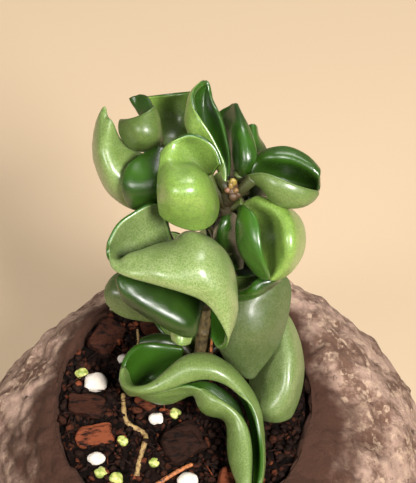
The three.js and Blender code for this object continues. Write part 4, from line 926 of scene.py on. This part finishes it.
    "blur_left": {"at": 0.42, "pale_side": (1,), "tones": (0.3, 1, 0.5), "petiole": [
        (-6, -17.6, -36),
    ], "sheets": [[
        [(-6, -14.5, -36), (-6, -17.6, -36), (-6, -20.6, -36)],
        [(-12.9, -12.2, -33), (-13.5, -18.1, -28), (-12.9, -23.8, -33)],
        [(-20.4, -9.8, -32), (-21, -16.6, -26), (-20.1, -23.6, -32)],
        [(-26.7, -9.4, -32), (-27.6, -15.4, -27), (-26.1, -22.1, -32)],
        [(-30.6, -13.9, -31), (-30.9, -16.1, -30), (-30.6, -18.1, -31)],
    ]]},
    "round_right": {"at": 0.92, "pale_side": (-1,), "tones": (1, 0.3, 0), "petiole": [
        (10.5, 11.5, -5),
    ], "sheets": [[
        [(16.2, 13.3, -6), (14.4, 13.3, -5), (12.6, 12.8, -6), (10.8, 11.8, -7), (9.6, 10.9, -6),
         (9.9, 10.9, -3), (10.5, 10.9, -2)],
        [(22.8, 10.7, -6), (19.5, 11.2, -1), (16.2, 10.3, -3), (12.6, 9.4, -6), (9.6, 8.8, -4),
         (11.1, 9.2, 0), (12.9, 9.4, 2)],
        [(27.6, 6.1, -8), (23.7, 6.5, 3), (18.3, 6.5, -4), (12.9, 6.1, -9), (8.8, 5.5, -5), (11.7, 6.1, 2),
         (15, 6.1, 4)],
        [(28.8, 0.1, -8), (24.6, 0.4, 5), (18.9, 0.4, -5), (13.5, 0.4, -11), (9.2, 0.4, -6), (12.3, 0.8, 3),
         (15.9, 0.1, 5)],
        [(27.3, -5.2, -8), (24.3, -5, 3), (19.8, -4.6, -4), (15.3, -4.3, -9), (11.1, -5, -6), (13.8, -4.6, 1),
         (16.8, -5.2, 4)],
        [(23.4, -9.9, -6), (21.9, -9.4, -2), (20.1, -9.2, -3), (18, -8.5, -6), (14.7, -9.4, -5),
         (16.5, -9.2, -1), (18.3, -9.2, 1)],
        [(19.2, -11.5, -4), (18.9, -11.5, -4), (18.6, -11.5, -4), (18.3, -11.5, -4), (17.7, -11.2, -4),
         (18, -11.2, -3), (18.6, -11.2, -2)],
    ]]},
    "narrow_dark": {"at": 0.72, "pale_side": (-1,), "tones": (0.4, 0.9, 0.25), "petiole": [
        (6, -2.5, -15),
    ], "sheets": [[
        [(5.1, 8.5, -9), (6, 9, -8.5), (7.2, 8.8, -10)],
        [(3.3, 6.1, -10), (5.4, 6.1, -6), (8.7, 6.5, -13)],
        [(2.1, 1.1, -13), (4.5, 1.3, -8.5), (9.9, 1.6, -16)],
        [(3.3, -4.3, -21), (6.3, -3.8, -17), (10.8, -3.1, -20)],
        [(6.6, -9.2, -22), (8.4, -8.8, -21), (10.5, -8.2, -23)],
    ]]},
    "under_dark": {"at": 0.78, "pale_side": (-1,), "tones": (0.3, 1, 0.85), "petiole": [
        (7.2, 1.6, -22.5),
    ], "sheets": [[
        [(5.4, 8.2, -17.5), (7.2, 9.2, -18), (9.6, 9.2, -18.5), (12, 7.9, -19)],
        [(6, -0.4, -24), (9.6, -0.1, -27), (14.1, -0.4, -26), (17.4, -0.8, -22)],
        [(7.2, -6.1, -26), (10.5, -6.1, -27), (14.4, -6.1, -27), (17.7, -5.8, -24)],
        [(9, -10.3, -26), (11.4, -10.7, -25), (14.4, -10.3, -25), (16.5, -9.8, -24.5)],
    ]]},
    "under_crescent": {"at": 0.6, "pale_side": (-1,), "tones": (0.7, 1, 0), "petiole": [
        (4.2, -13.7, -27), (6.3, -13.9, -23),
    ], "sheets": [[
        [(21.3, -10.7, -13), (21.4, -10.9, -13), (21.4, -11.2, -14), (21.3, -10.9, -15), (21, -10.3, -15)],
        [(18.6, -11.1, -10.5), (19.2, -12, -9.5), (19.8, -12.8, -13.5), (19.2, -11.1, -18),
         (18.3, -9.9, -17)],
        [(15, -11.1, -10), (15.6, -13.3, -9), (16.1, -15.1, -13), (15.3, -12.4, -20), (14.7, -9.4, -19)],
        [(12.3, -13.7, -11), (12.9, -15.3, -10), (13.2, -16.6, -14), (12.3, -13.9, -21), (11.7, -10, -20)],
        [(8.1, -14.5, -17), (8.4, -16.1, -17), (8.4, -17.2, -19), (7.8, -14.5, -23), (7.5, -10.3, -23)],
        [(4.2, -12.8, -25), (4.5, -13.7, -25), (4.5, -14.2, -26), (4.2, -13.3, -27), (3.9, -12.2, -27)],
    ]]},
    "broad_right": {"at": 0.42, "pale_side": (1,), "tones": (0, 1, 0.66), "petiole": [
        (5.4, -18.1, -36),
    ], "sheets": [[
        [(8.4, -10.3, -36), (11.4, -9.8, -33), (16.2, -9.2, -32), (19.8, -9.2, -35)],
        [(5.1, -13.9, -37), (9.6, -13.3, -30), (17.4, -12.8, -28), (24.3, -12.2, -35)],
        [(4.2, -21.1, -37), (8.7, -20.8, -28), (16.8, -20.2, -28), (24.3, -20.2, -36)],
        [(3.3, -28.9, -38), (7.8, -28.9, -31), (15.6, -28.3, -30), (22.2, -28.1, -38)],
        [(5.1, -34.9, -41), (8.7, -35.9, -38.5), (13.8, -35.5, -38), (18.3, -35.2, -40)],
        [(11.4, -40.6, -43.5), (12.3, -41.1, -43), (13.2, -41.1, -43), (13.8, -40.6, -43.5)],
    ]]},
    "back_right": {"at": 0.22, "pale_side": (1,), "tones": (0.1, 1, 0.32), "petiole": [
        (8.4, -27.8, -51), (14.7, -22.9, -49),
    ], "sheets": [[
        [(15, -21.1, -47), (17.1, -20.6, -46), (19.2, -20.6, -46), (21, -20.6, -47)],
        [(14.1, -25.1, -51), (17.1, -24.4, -47), (21, -23.6, -43), (24.6, -23.2, -47)],
        [(13.2, -33.1, -53), (16.8, -32.9, -48), (23.4, -32.5, -39), (27.9, -32.5, -48)],
        [(12.6, -42.8, -54), (16.5, -42.4, -46), (23.7, -42.1, -37), (28.2, -41.9, -47)],
        [(13.8, -49.9, -47), (17.4, -49.9, -40), (22.8, -49.6, -39), (26.4, -49, -46)],
        [(16.5, -53.5, -46), (19.2, -54, -44), (21.9, -53.9, -44), (24.6, -52.9, -46)],
    ]]},
    "ribbon": {"at": 0.13, "pale_side": (-1, 1), "tones": (0.5, 0.2, 0.33), "petiole": [
        (-6.6, -36.8, -51.5),
    ], "sheets": [[
        [(-7.2, -33.1, -50), (-7.5, -32.5, -49), (-7.2, -36.1, -51), (-6.6, -40.9, -54)],
        [(-15.6, -32.5, -54), (-16.2, -31.2, -50), (-16.2, -36.1, -52), (-15, -41.5, -54)],
        [(-21.3, -34.4, -51), (-22.8, -32.9, -46), (-21.9, -37.9, -49), (-19.8, -43.6, -51)],
        [(-24, -38.9, -47), (-25.9, -40, -41), (-25.3, -43, -42.5), (-23.1, -45.8, -45)],
        [(-21.3, -44.5, -41), (-22.2, -43.9, -35), (-21.9, -44.9, -34), (-21.3, -46, -37)],
        [(-14.4, -44.2, -38), (-15, -41.5, -32), (-15, -43.6, -30), (-15, -45.1, -32)],
        [(-7.2, -39.8, -39), (-8.4, -35.9, -33), (-8.1, -39.1, -29), (-7.8, -42.8, -31)],
        [(-0.6, -39.4, -42), (-1.2, -33.8, -35), (-0.9, -37.4, -28), (-0.6, -41.2, -30)],
        [(5.4, -42.1, -44), (6, -37, -36), (6, -40, -29), (5.7, -43, -30)],
        [(10.2, -47.9, -45), (11.5, -43, -38), (10.7, -44.9, -31.5), (9.6, -46.2, -31)],
        [(12.6, -55, -43), (15.3, -50.9, -38), (14.4, -51, -33), (13.2, -50.5, -31)],
        [(13.5, -63.1, -37), (16.1, -59.5, -35), (16.1, -59.7, -32.5), (15.6, -59.2, -30.5)],
        [(13.5, -71.5, -29), (16.1, -69.8, -28), (16.1, -69.8, -26.5), (15.8, -69.8, -25)],
        [(12.3, -77.5, -24), (13.2, -77.8, -24), (13.2, -77.8, -23), (12.9, -77.8, -23)],
    ], [
        [(-20.4, -44.9, -40), (-21.9, -45.4, -42), (-21.6, -45.4, -39), (-20.7, -45.1, -38)],
        [(-12.6, -43.6, -44), (-15, -48.1, -45), (-14.1, -46.6, -40), (-13.5, -44.5, -37)],
        [(-6.6, -42.8, -45), (-9, -47.2, -44), (-8.1, -44.9, -38), (-7.5, -43, -35)],
        [(-0.6, -41.9, -45), (-3.8, -45.8, -41), (-2.7, -44.9, -36), (-1.2, -44.2, -35)],
        [(5.4, -44.9, -46), (-0.9, -50.9, -40), (1.2, -48.4, -33), (3.3, -47.2, -33)],
        [(10.2, -50.5, -46), (5.4, -53.5, -40), (7.5, -52.6, -32.5), (9.9, -52.8, -33)],
        [(12.6, -59.5, -41), (6.5, -62.2, -36), (9.6, -61.3, -30), (12.9, -60.8, -31)],
        [(13.2, -70, -31), (8.5, -71, -29), (10.8, -70.6, -25), (12.9, -70.6, -26)],
        [(12.3, -77.5, -24), (11.4, -77.8, -24), (11.7, -77.8, -23), (12.3, -77.8, -23)],
    ]]},
    "low_dark": {"at": 0.2, "pale_side": (-1,), "tones": (0.3, 1, 0.75), "petiole": [
        (-7.8, -31.6, -57),
    ], "sheets": [[
        [(-21.6, -32.2, -58), (-21, -30.8, -55), (-20.1, -29.2, -56)],
        [(-17.4, -33.4, -59), (-16.8, -30.4, -54), (-15.9, -27.8, -56)],
        [(-12, -33.4, -59), (-12, -30.8, -54), (-12, -28.1, -56)],
        [(-7.8, -33.1, -58), (-7.8, -31.3, -56), (-7.8, -29.5, -58)],
    ]]},
}
USUAL_TONES = (0.6, 1, 0.1)
LEAF_HALF_THICKNESS = 0.75
SHEET_ROWS = 62
SHEET_COLUMNS = 50
# height and size of each layer of dimples
LEAF_DIMPLES = [(0.22, 6), (0.08, 2.4)]
# how far the rounded margin reaches in, its steps, and how far the upper side's green goes round it
RIM_REACH = 0.9
RIM_STEPS = 5
RIM_WRAP = 0.5
PETIOLE_RADIUS = 1.55
PETIOLE_ROWS = 34
PETIOLE_SIDES = 18
# how far the petiole's brown runs into the leaf
PETIOLE_FADE = 2.2
FAR_FROM_RIM = 9.0
# how far across a fold feels its other side, and which share of the places is looked at: one in so many
FOLD_SIZE = 9
FOLD_STRIDE = 23


def margin_shares(length, count):
    """Shares of the way over a sheet: a quarter circle's steps along each margin, even steps between."""
    reach = min(0.2, RIM_REACH / length)
    quarter = reach * (1 - np.cos(np.linspace(0, math.pi / 2, RIM_STEPS + 1)))
    return np.concatenate([quarter[:-1], np.linspace(reach, 1 - reach, count), 1 - quarter[-2::-1]])


def distance_to_ends(points, axis):
    """Distance along the grid's lines to the nearer of their two ends."""
    steps = np.linalg.norm(np.diff(points, axis=axis), axis=-1)
    start = np.zeros_like(np.take(steps, [0], axis))
    walked = np.cumsum(np.concatenate([start, steps], axis=axis), axis=axis)
    return np.minimum(walked, np.take(walked, [-1], axis) - walked)


def leaf_sheet(ribs, pale_side, seed):
    """A sheet's places, triangles, upper-side share and distance from its margin. The middle surface is a
    natural spline both ways, with faint dimples. Each face stands off it by the half thickness, rounded off
    like a quarter circle along the margins, where both faces share their vertices."""
    ribs = np.asarray(ribs, float)
    rows, columns = ribs.shape[:2]
    length = np.linalg.norm(np.diff(ribs, axis=0), axis=-1).sum(axis=0).mean()
    width = np.linalg.norm(np.diff(ribs, axis=1), axis=-1).sum(axis=1).max()
    along = margin_shares(length, SHEET_ROWS)
    across = margin_shares(width, SHEET_COLUMNS)
    middle = np.einsum("ai,bj,ijk->abk", spline_weights(rows, along), spline_weights(columns, across), ribs)
    normal = unit(np.cross(np.gradient(middle, along, axis=0), np.gradient(middle, across, axis=1)))
    to_end = distance_to_ends(middle, 0)
    to_side = distance_to_ends(middle, 1)
    margin = np.minimum(to_end, to_side)
    dimples = layered_lumps(middle, LEAF_DIMPLES, seed) * np.clip(margin / 3, 0.3, 1)
    middle = middle + normal * dimples[..., None]
    rounding = [np.sqrt(1 - (1 - np.clip(reach / RIM_REACH, 0, 1)) ** 2) for reach in (to_end, to_side)]
    half = LEAF_HALF_THICKNESS * rounding[0] * rounding[1]
    front = middle + normal * half[..., None]
    back = middle - normal * half[..., None]
    front_index = np.arange(margin.size).reshape(margin.shape)
    inner = (slice(1, -1), slice(1, -1))
    back_index = front_index.copy()
    back_index[inner] = margin.size + np.arange(margin[inner].size).reshape(margin[inner].shape)
    points = np.concatenate([front.reshape(-1, 3), back[inner].reshape(-1, 3)])
    triangles = np.concatenate([skin(front_index)[:, ::-1], skin(back_index)])
    from_rim = np.concatenate([margin.ravel(), margin[inner].ravel()])
    is_upper = np.repeat([pale_side < 0, pale_side > 0], [margin.size, margin[inner].size])
    upper = np.where(is_upper, 1, 1 - np.clip(from_rim / RIM_WRAP, 0, 1))
    return points, triangles, upper, from_rim


def petiole_skin(course):
    """A petiole's places, triangles and shares: a round tube, a little thicker at both ends."""
    straight = np.linspace(course[0], course[-1], PETIOLE_ROWS)
    line = even_course(course, PETIOLE_ROWS) if len(course) > 2 else straight
    share = np.linspace(-1, 1, PETIOLE_ROWS)
    return tube(line, PETIOLE_RADIUS * (0.95 + 0.3 * share**2), PETIOLE_SIDES)


def hollow_share(points, triangles):
    """How deep each place of a skin lies in a fold of it, from 0 to 1: the mean of how squarely the skin's
    places stand before it, cos(angle to the normal), each weighed exp(-(distance / FOLD_SIZE)^2)."""
    corners = points[triangles]
    facing = np.cross(corners[:, 1] - corners[:, 0], corners[:, 2] - corners[:, 0])
    normals = np.zeros_like(points)
    for corner in range(3):
        np.add.at(normals, triangles[:, corner], facing)
    normals = unit(normals)
    toward = points[None, ::FOLD_STRIDE] - points[:, None]
    distance = np.linalg.norm(toward, axis=2) + 0.01
    squarely = np.clip(np.einsum("nsk,nk->ns", toward, normals) / distance, 0, 1)
    weight = np.exp(-((distance / FOLD_SIZE) ** 2))
    return np.clip((squarely * weight).sum(axis=1) / weight.sum(axis=1), 0, 1)


def joined(skins):
    """Places and triangles of several skins as one: each skin's vertex numbers go on from the one before."""
    starts = np.cumsum([0] + [len(points) for points, _ in skins[:-1]])
    triangles = [triangles + start for (_, triangles), start in zip(skins, starts)]
    return np.concatenate([points for points, _ in skins]), np.concatenate(triangles)


def add_leaf(name, sheets, pale_sides, course, tones, seed):
    """A leaf with its petiole as one mesh, standing for its CAD node."""
    points, triangles, petiole_share = petiole_skin(course)
    skins = [(points, triangles)]
    upper = [np.zeros(len(points))]
    margin = [np.full(len(points), FAR_FROM_RIM)]
    woody = [1 - 0.35 * petiole_share**2]
    hollow = [np.zeros(len(points))]
    for number, (ribs, pale_side) in enumerate(zip(sheets, pale_sides)):
        points, triangles, sheet_upper, sheet_margin = leaf_sheet(ribs, pale_side, seed + 7 * number)
        skins.append((points, triangles))
        upper.append(sheet_upper)
        margin.append(sheet_margin)
        woody.append(0.8 * np.exp(-np.linalg.norm(points - course[-1], axis=1) / PETIOLE_FADE))
        hollow.append(hollow_share(points, triangles))
    points, triangles = joined(skins)
    fresh, deep, painted_shade = (np.full(len(points), tone) for tone in tones)
    attributes = {
        "upper": np.concatenate(upper), "margin": np.concatenate(margin), "woody": np.concatenate(woody),
        "frost": 1 - fresh, "deep": deep, "painted_shade": painted_shade, "hollow": np.concatenate(hollow),
    }
    piece = add_mesh(name, points, triangles, leaf_material, attributes)
    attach(piece, "root")
    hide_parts(name.replace("waxy_", ""))


def spread(tree, share, start, end):
    """The start where the share is 0, the end where it is 1, and even steps between."""
    return add_node(tree, "MapRange", {"Value": share, "To Min": start, "To Max": end}).outputs["Result"]


UNDERSIDE_FRESH = (0.178, 0.285, 0.048)
UNDERSIDE_FROSTED = (0.22, 0.272, 0.115)
UNDERSIDE_SHADE = (0.1, 0.17, 0.028)
UPPER_DEEP = (0.005, 0.024, 0.0012)
UPPER_LIGHT = (0.03, 0.1, 0.005)
SPECK = (0.045, 0.09, 0.015)
RIM_DARK = (0.03, 0.09, 0.015)
PETIOLE_BROWN = (0.018, 0.011, 0.0045)
PAINTED_SHADE_GREEN = (0.012, 0.02, 0.005)
DRY_SPOT = (0.05, 0.035, 0.015)
FOLD_SHADE_GREEN = (0.008, 0.02, 0.002)
# how much of their own colour mottles, fine grains, specks, dry spots, the rim's line and the painted shade
# in folds take at most
MOTTLE_SHARE = 0.5
FINE_GRAIN_SHARE = 0.7
SPECK_SHARE = 0.6
SPOT_SHARE = 0.7
RIM_SHARE = 0.45
FOLD_SHADE_SHARE = 0.62
# the coat's weight on a clean and on a dull place, and the roughness of the underside and of the upper side
CLEAN_COAT = 0.9
DULL_COAT = 0.03
UNDERSIDE_ROUGHNESS = 0.36
UPPER_ROUGHNESS = 0.2
# what patches of wax and the insides of folds add to that roughness at most
WAX_ROUGHNESS = 0.08
FOLD_ROUGHNESS = 0.15

leaf_material, tree, shader = new_material("waxy_leaf", 0.42)
shader.inputs["Specular IOR Level"].default_value = 0.35
shader.inputs["Coat Roughness"].default_value = 0.27
shader.inputs["Subsurface Weight"].default_value = 0.1
shader.inputs["Subsurface Radius"].default_value = (0.5, 1.0, 0.2)
shader.inputs["Subsurface Scale"].default_value = 0.0015
upper_side = ramp(tree, own_value(tree, "upper"), 0.3, 0.75)
underside = mix(tree, own_value(tree, "frost"), UNDERSIDE_FRESH, UNDERSIDE_FROSTED)
mottle = times(tree, ramp(tree, noise(tree, 4, 6, 0.7), 0.42, 0.7), MOTTLE_SHARE)
underside = mix(tree, mottle, underside, UNDERSIDE_SHADE)
fine_grain = times(tree, ramp(tree, noise(tree, 0.6, 3, 0.75), 0.43, 0.58), FINE_GRAIN_SHARE)
underside = mix(tree, fine_grain, underside, UNDERSIDE_SHADE)
speck_distance, speck_kind = grains(tree, 0.75)
speck_chance = ramp(tree, draw(tree, speck_kind, "Red"), 0.5, 0.6)
speck_share = times(tree, ramp(tree, speck_distance, 0.36, 0.1), speck_chance)
underside = mix(tree, times(tree, speck_share, SPECK_SHARE), underside, SPECK)
upper_colour = mix(tree, ramp(tree, noise(tree, 14, 2), 0.25, 0.75), UPPER_LIGHT, UPPER_DEEP)
upper_colour = mix(tree, own_value(tree, "deep"), UPPER_LIGHT, upper_colour)
leaf_colour = mix(tree, upper_side, underside, upper_colour)
spot_distance, spot_kind = grains(tree, 7)
spot_chance = ramp(tree, draw(tree, spot_kind, "Green"), 0.72, 0.76)
spot_share = times(tree, ramp(tree, spot_distance, 0.07, 0.03), spot_chance)
leaf_colour = mix(tree, times(tree, spot_share, SPOT_SHARE), leaf_colour, DRY_SPOT)
rim_distance = own_value(tree, "margin")
rim_line = times(tree, ramp(tree, rim_distance, 0.55, 0.75), ramp(tree, rim_distance, 1.1, 0.85))
leaf_colour = mix(tree, times(tree, rim_line, RIM_SHARE), leaf_colour, RIM_DARK)
# painted shade: a leaf that stands in the plant's shade is darkened as a whole
leaf_colour = mix(tree, own_value(tree, "painted_shade"), leaf_colour, PAINTED_SHADE_GREEN)
# painted shade: places deep in a fold of their own leaf are darkened towards a deep green
fold_shade_share = times(tree, ramp(tree, own_value(tree, "hollow"), 0.15, 0.42), FOLD_SHADE_SHARE)
leaf_colour = mix(tree, fold_shade_share, leaf_colour, FOLD_SHADE_GREEN)
leaf_colour = mix(tree, own_value(tree, "woody"), leaf_colour, PETIOLE_BROWN)
dull_share = plus(tree, own_value(tree, "woody"), own_value(tree, "painted_shade"))
dull_share = plus(tree, dull_share, fold_shade_share)
wax_coat = spread(tree, dull_share, CLEAN_COAT, DULL_COAT)
tree.links.new(wax_coat, shader.inputs["Coat Weight"])
leaf_roughness = spread(tree, upper_side, UNDERSIDE_ROUGHNESS, UPPER_ROUGHNESS)
leaf_roughness = plus(tree, leaf_roughness, times(tree, noise(tree, 3, 4), WAX_ROUGHNESS))
leaf_roughness = plus(tree, leaf_roughness, times(tree, fold_shade_share, FOLD_ROUGHNESS))
paint(tree, shader, leaf_colour, leaf_roughness)
bump(tree, shader, noise(tree, 0.7, 4, 0.75), 0.14)

for number, (place, leaf) in enumerate(LEAVES.items()):
    petiole_course = [stem_point(leaf["at"]), *seen(leaf["petiole"])]
    sheets = [seen(sheet) for sheet in leaf["sheets"]]
    tones = leaf.get("tones", USUAL_TONES)
    add_leaf("waxy_leaf_" + place, sheets, leaf["pale_side"], petiole_course, tones, 100 + 20 * number)


# The leaves behind
# The leaves round the back of the stem, which the front hides: each a thick trough that droops as it goes.
# height on the stem, heading round from +X, first rise, length, width, half the fold, and droop
BACK_LEAVES = {
    "upper_back": (0.77, 105, -5, 31, 22, 70, 50),
    "upper_back_right": (0.65, 68, -6, 30, 21, 75, 55),
    "upper_back_left": (0.62, 152, -2, 22, 16, 70, 35),
    "middle_back": (0.5, 110, 2, 33, 26, 72, 60),
    "lower_back_left": (0.36, 146, 5, 30, 24, 75, 50),
    "lower_back_right": (0.36, 70, 10, 30, 24, 75, 60),
    "lowest_back": (0.17, 106, 14, 28, 22, 70, 40),
}
BACK_LEAF_RIBS = 6
BACK_LEAF_ACROSS = np.array([-1, -0.5, 0, 0.5, 1])
BACK_LEAF_START = 4


def trough_ribs(at, heading, rise, length, width, fold, droop):
    """Ribs of a trough: its middle line bends down as it goes, and each rib is a circle's arc across it."""
    turn = math.radians(heading)
    outward = np.array([math.cos(turn), math.sin(turn), 0])
    sideways = np.array([-math.sin(turn), math.cos(turn), 0])
    middle = stem_point(at) + outward * (stem_radius(at) + BACK_LEAF_START)
    arc = math.radians(fold)
    ribs = []
    for share in np.linspace(0, 1, BACK_LEAF_RIBS):
        pitch = math.radians(rise - droop * share)
        forward = outward * math.cos(pitch) + np.array([0, 0, math.sin(pitch)])
        upward = -outward * math.sin(pitch) + np.array([0, 0, math.cos(pitch)])
        if share > 0:
            middle = middle + forward * length / (BACK_LEAF_RIBS - 1)
        fullness = math.sin(math.pi * (0.07 + 0.87 * share)) ** 0.8
        radius = width / 2 * fullness / math.sin(arc)
        aside = radius * np.sin(arc * BACK_LEAF_ACROSS)[:, None] * sideways
        ribs.append(middle + aside + radius * (1 - np.cos(arc * BACK_LEAF_ACROSS))[:, None] * upward)
    return np.array(ribs)


for number, (place, trough) in enumerate(BACK_LEAVES.items()):
    ribs = trough_ribs(*trough)
    course = [stem_point(trough[0]), ribs[0, 2] + 0.3 * (ribs[1, 2] - ribs[0, 2])]
    add_leaf("waxy_leaf_" + place, [ribs], [1], course, USUAL_TONES, 700 + 20 * number)


# The crown bud
# The growing tip at the top of the stem: a knobby brown joint, and on it a few small yellow and pinkish
# scales that wrap the next pair of leaves.
BUD_PLACE = (7.4, 17.4, 1.2)
BUD_KNOBS = 0.1
BUD_YELLOW = (0.24, 0.17, 0.03)
BUD_PINK = (0.15, 0.065, 0.03)
KNOB_BROWN = (0.06, 0.03, 0.012)
bud_middle = seen(BUD_PLACE)
# aside, back and up from the bud's middle, half-axes, and the colour from 0, yellow, by 1, pink, to 2, brown
BUD_SCALES = [
    ((0.1, 0.4, 0.2), (1.2, 0.9, 1.6), 0), ((-0.6, -0.6, -0.4), (0.9, 0.8, 1.2), 0.4),
    ((-1.6, -1.2, -1.6), (1.0, 0.9, 0.9), 1), ((0.9, -1.1, -1.9), (0.9, 0.8, 0.8), 0.7),
    ((-0.2, 0.3, -2.6), (2.4, 2.2, 1.5), 2), ((-1.9, 0.3, -3.4), (1.5, 1.4, 1.3), 2),
    ((1.7, -0.6, -3.6), (1.4, 1.4, 1.3), 2), ((0.2, -1.7, -4.0), (1.5, 1.2, 1.5), 2),
    ((-0.8, 1.6, -4.2), (1.6, 1.3, 1.6), 2),
]
bud_material, tree, shader = new_material("bud_scales", 0.5)
pink = own_value(tree, "pink")
bud_colour = mix(tree, pink, BUD_YELLOW, BUD_PINK)
bud_colour = mix(tree, ramp(tree, pink, 1, 2), bud_colour, KNOB_BROWN)
bud_colour = mix(tree, ramp(tree, noise(tree, 0.9, 4), 0.5, 0.7), bud_colour, KNOB_BROWN)
paint(tree, shader, bud_colour)
bump(tree, shader, noise(tree, 0.4, 3), 0.12)
scale_directions, scale_triangles = ball_grid(30, 36)
scales = []
for number, (offset, half_axes, _) in enumerate(BUD_SCALES):
    knobbly = 1 + BUD_KNOBS * lumps(scale_directions, 0.7, 900 + number)
    scale_points = scale_directions * half_axes * knobbly[:, None]
    scales.append((scale_points + bud_middle + offset, scale_triangles))
bud_points, bud_triangles = joined(scales)
bud_pink = np.repeat([float(pinkness) for _, _, pinkness in BUD_SCALES], len(scale_directions))
bud_piece = add_mesh("scaly_crown_bud", bud_points, bud_triangles, bud_material, {"pink": bud_pink})
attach(bud_piece, "root")
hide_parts("crown_bud")
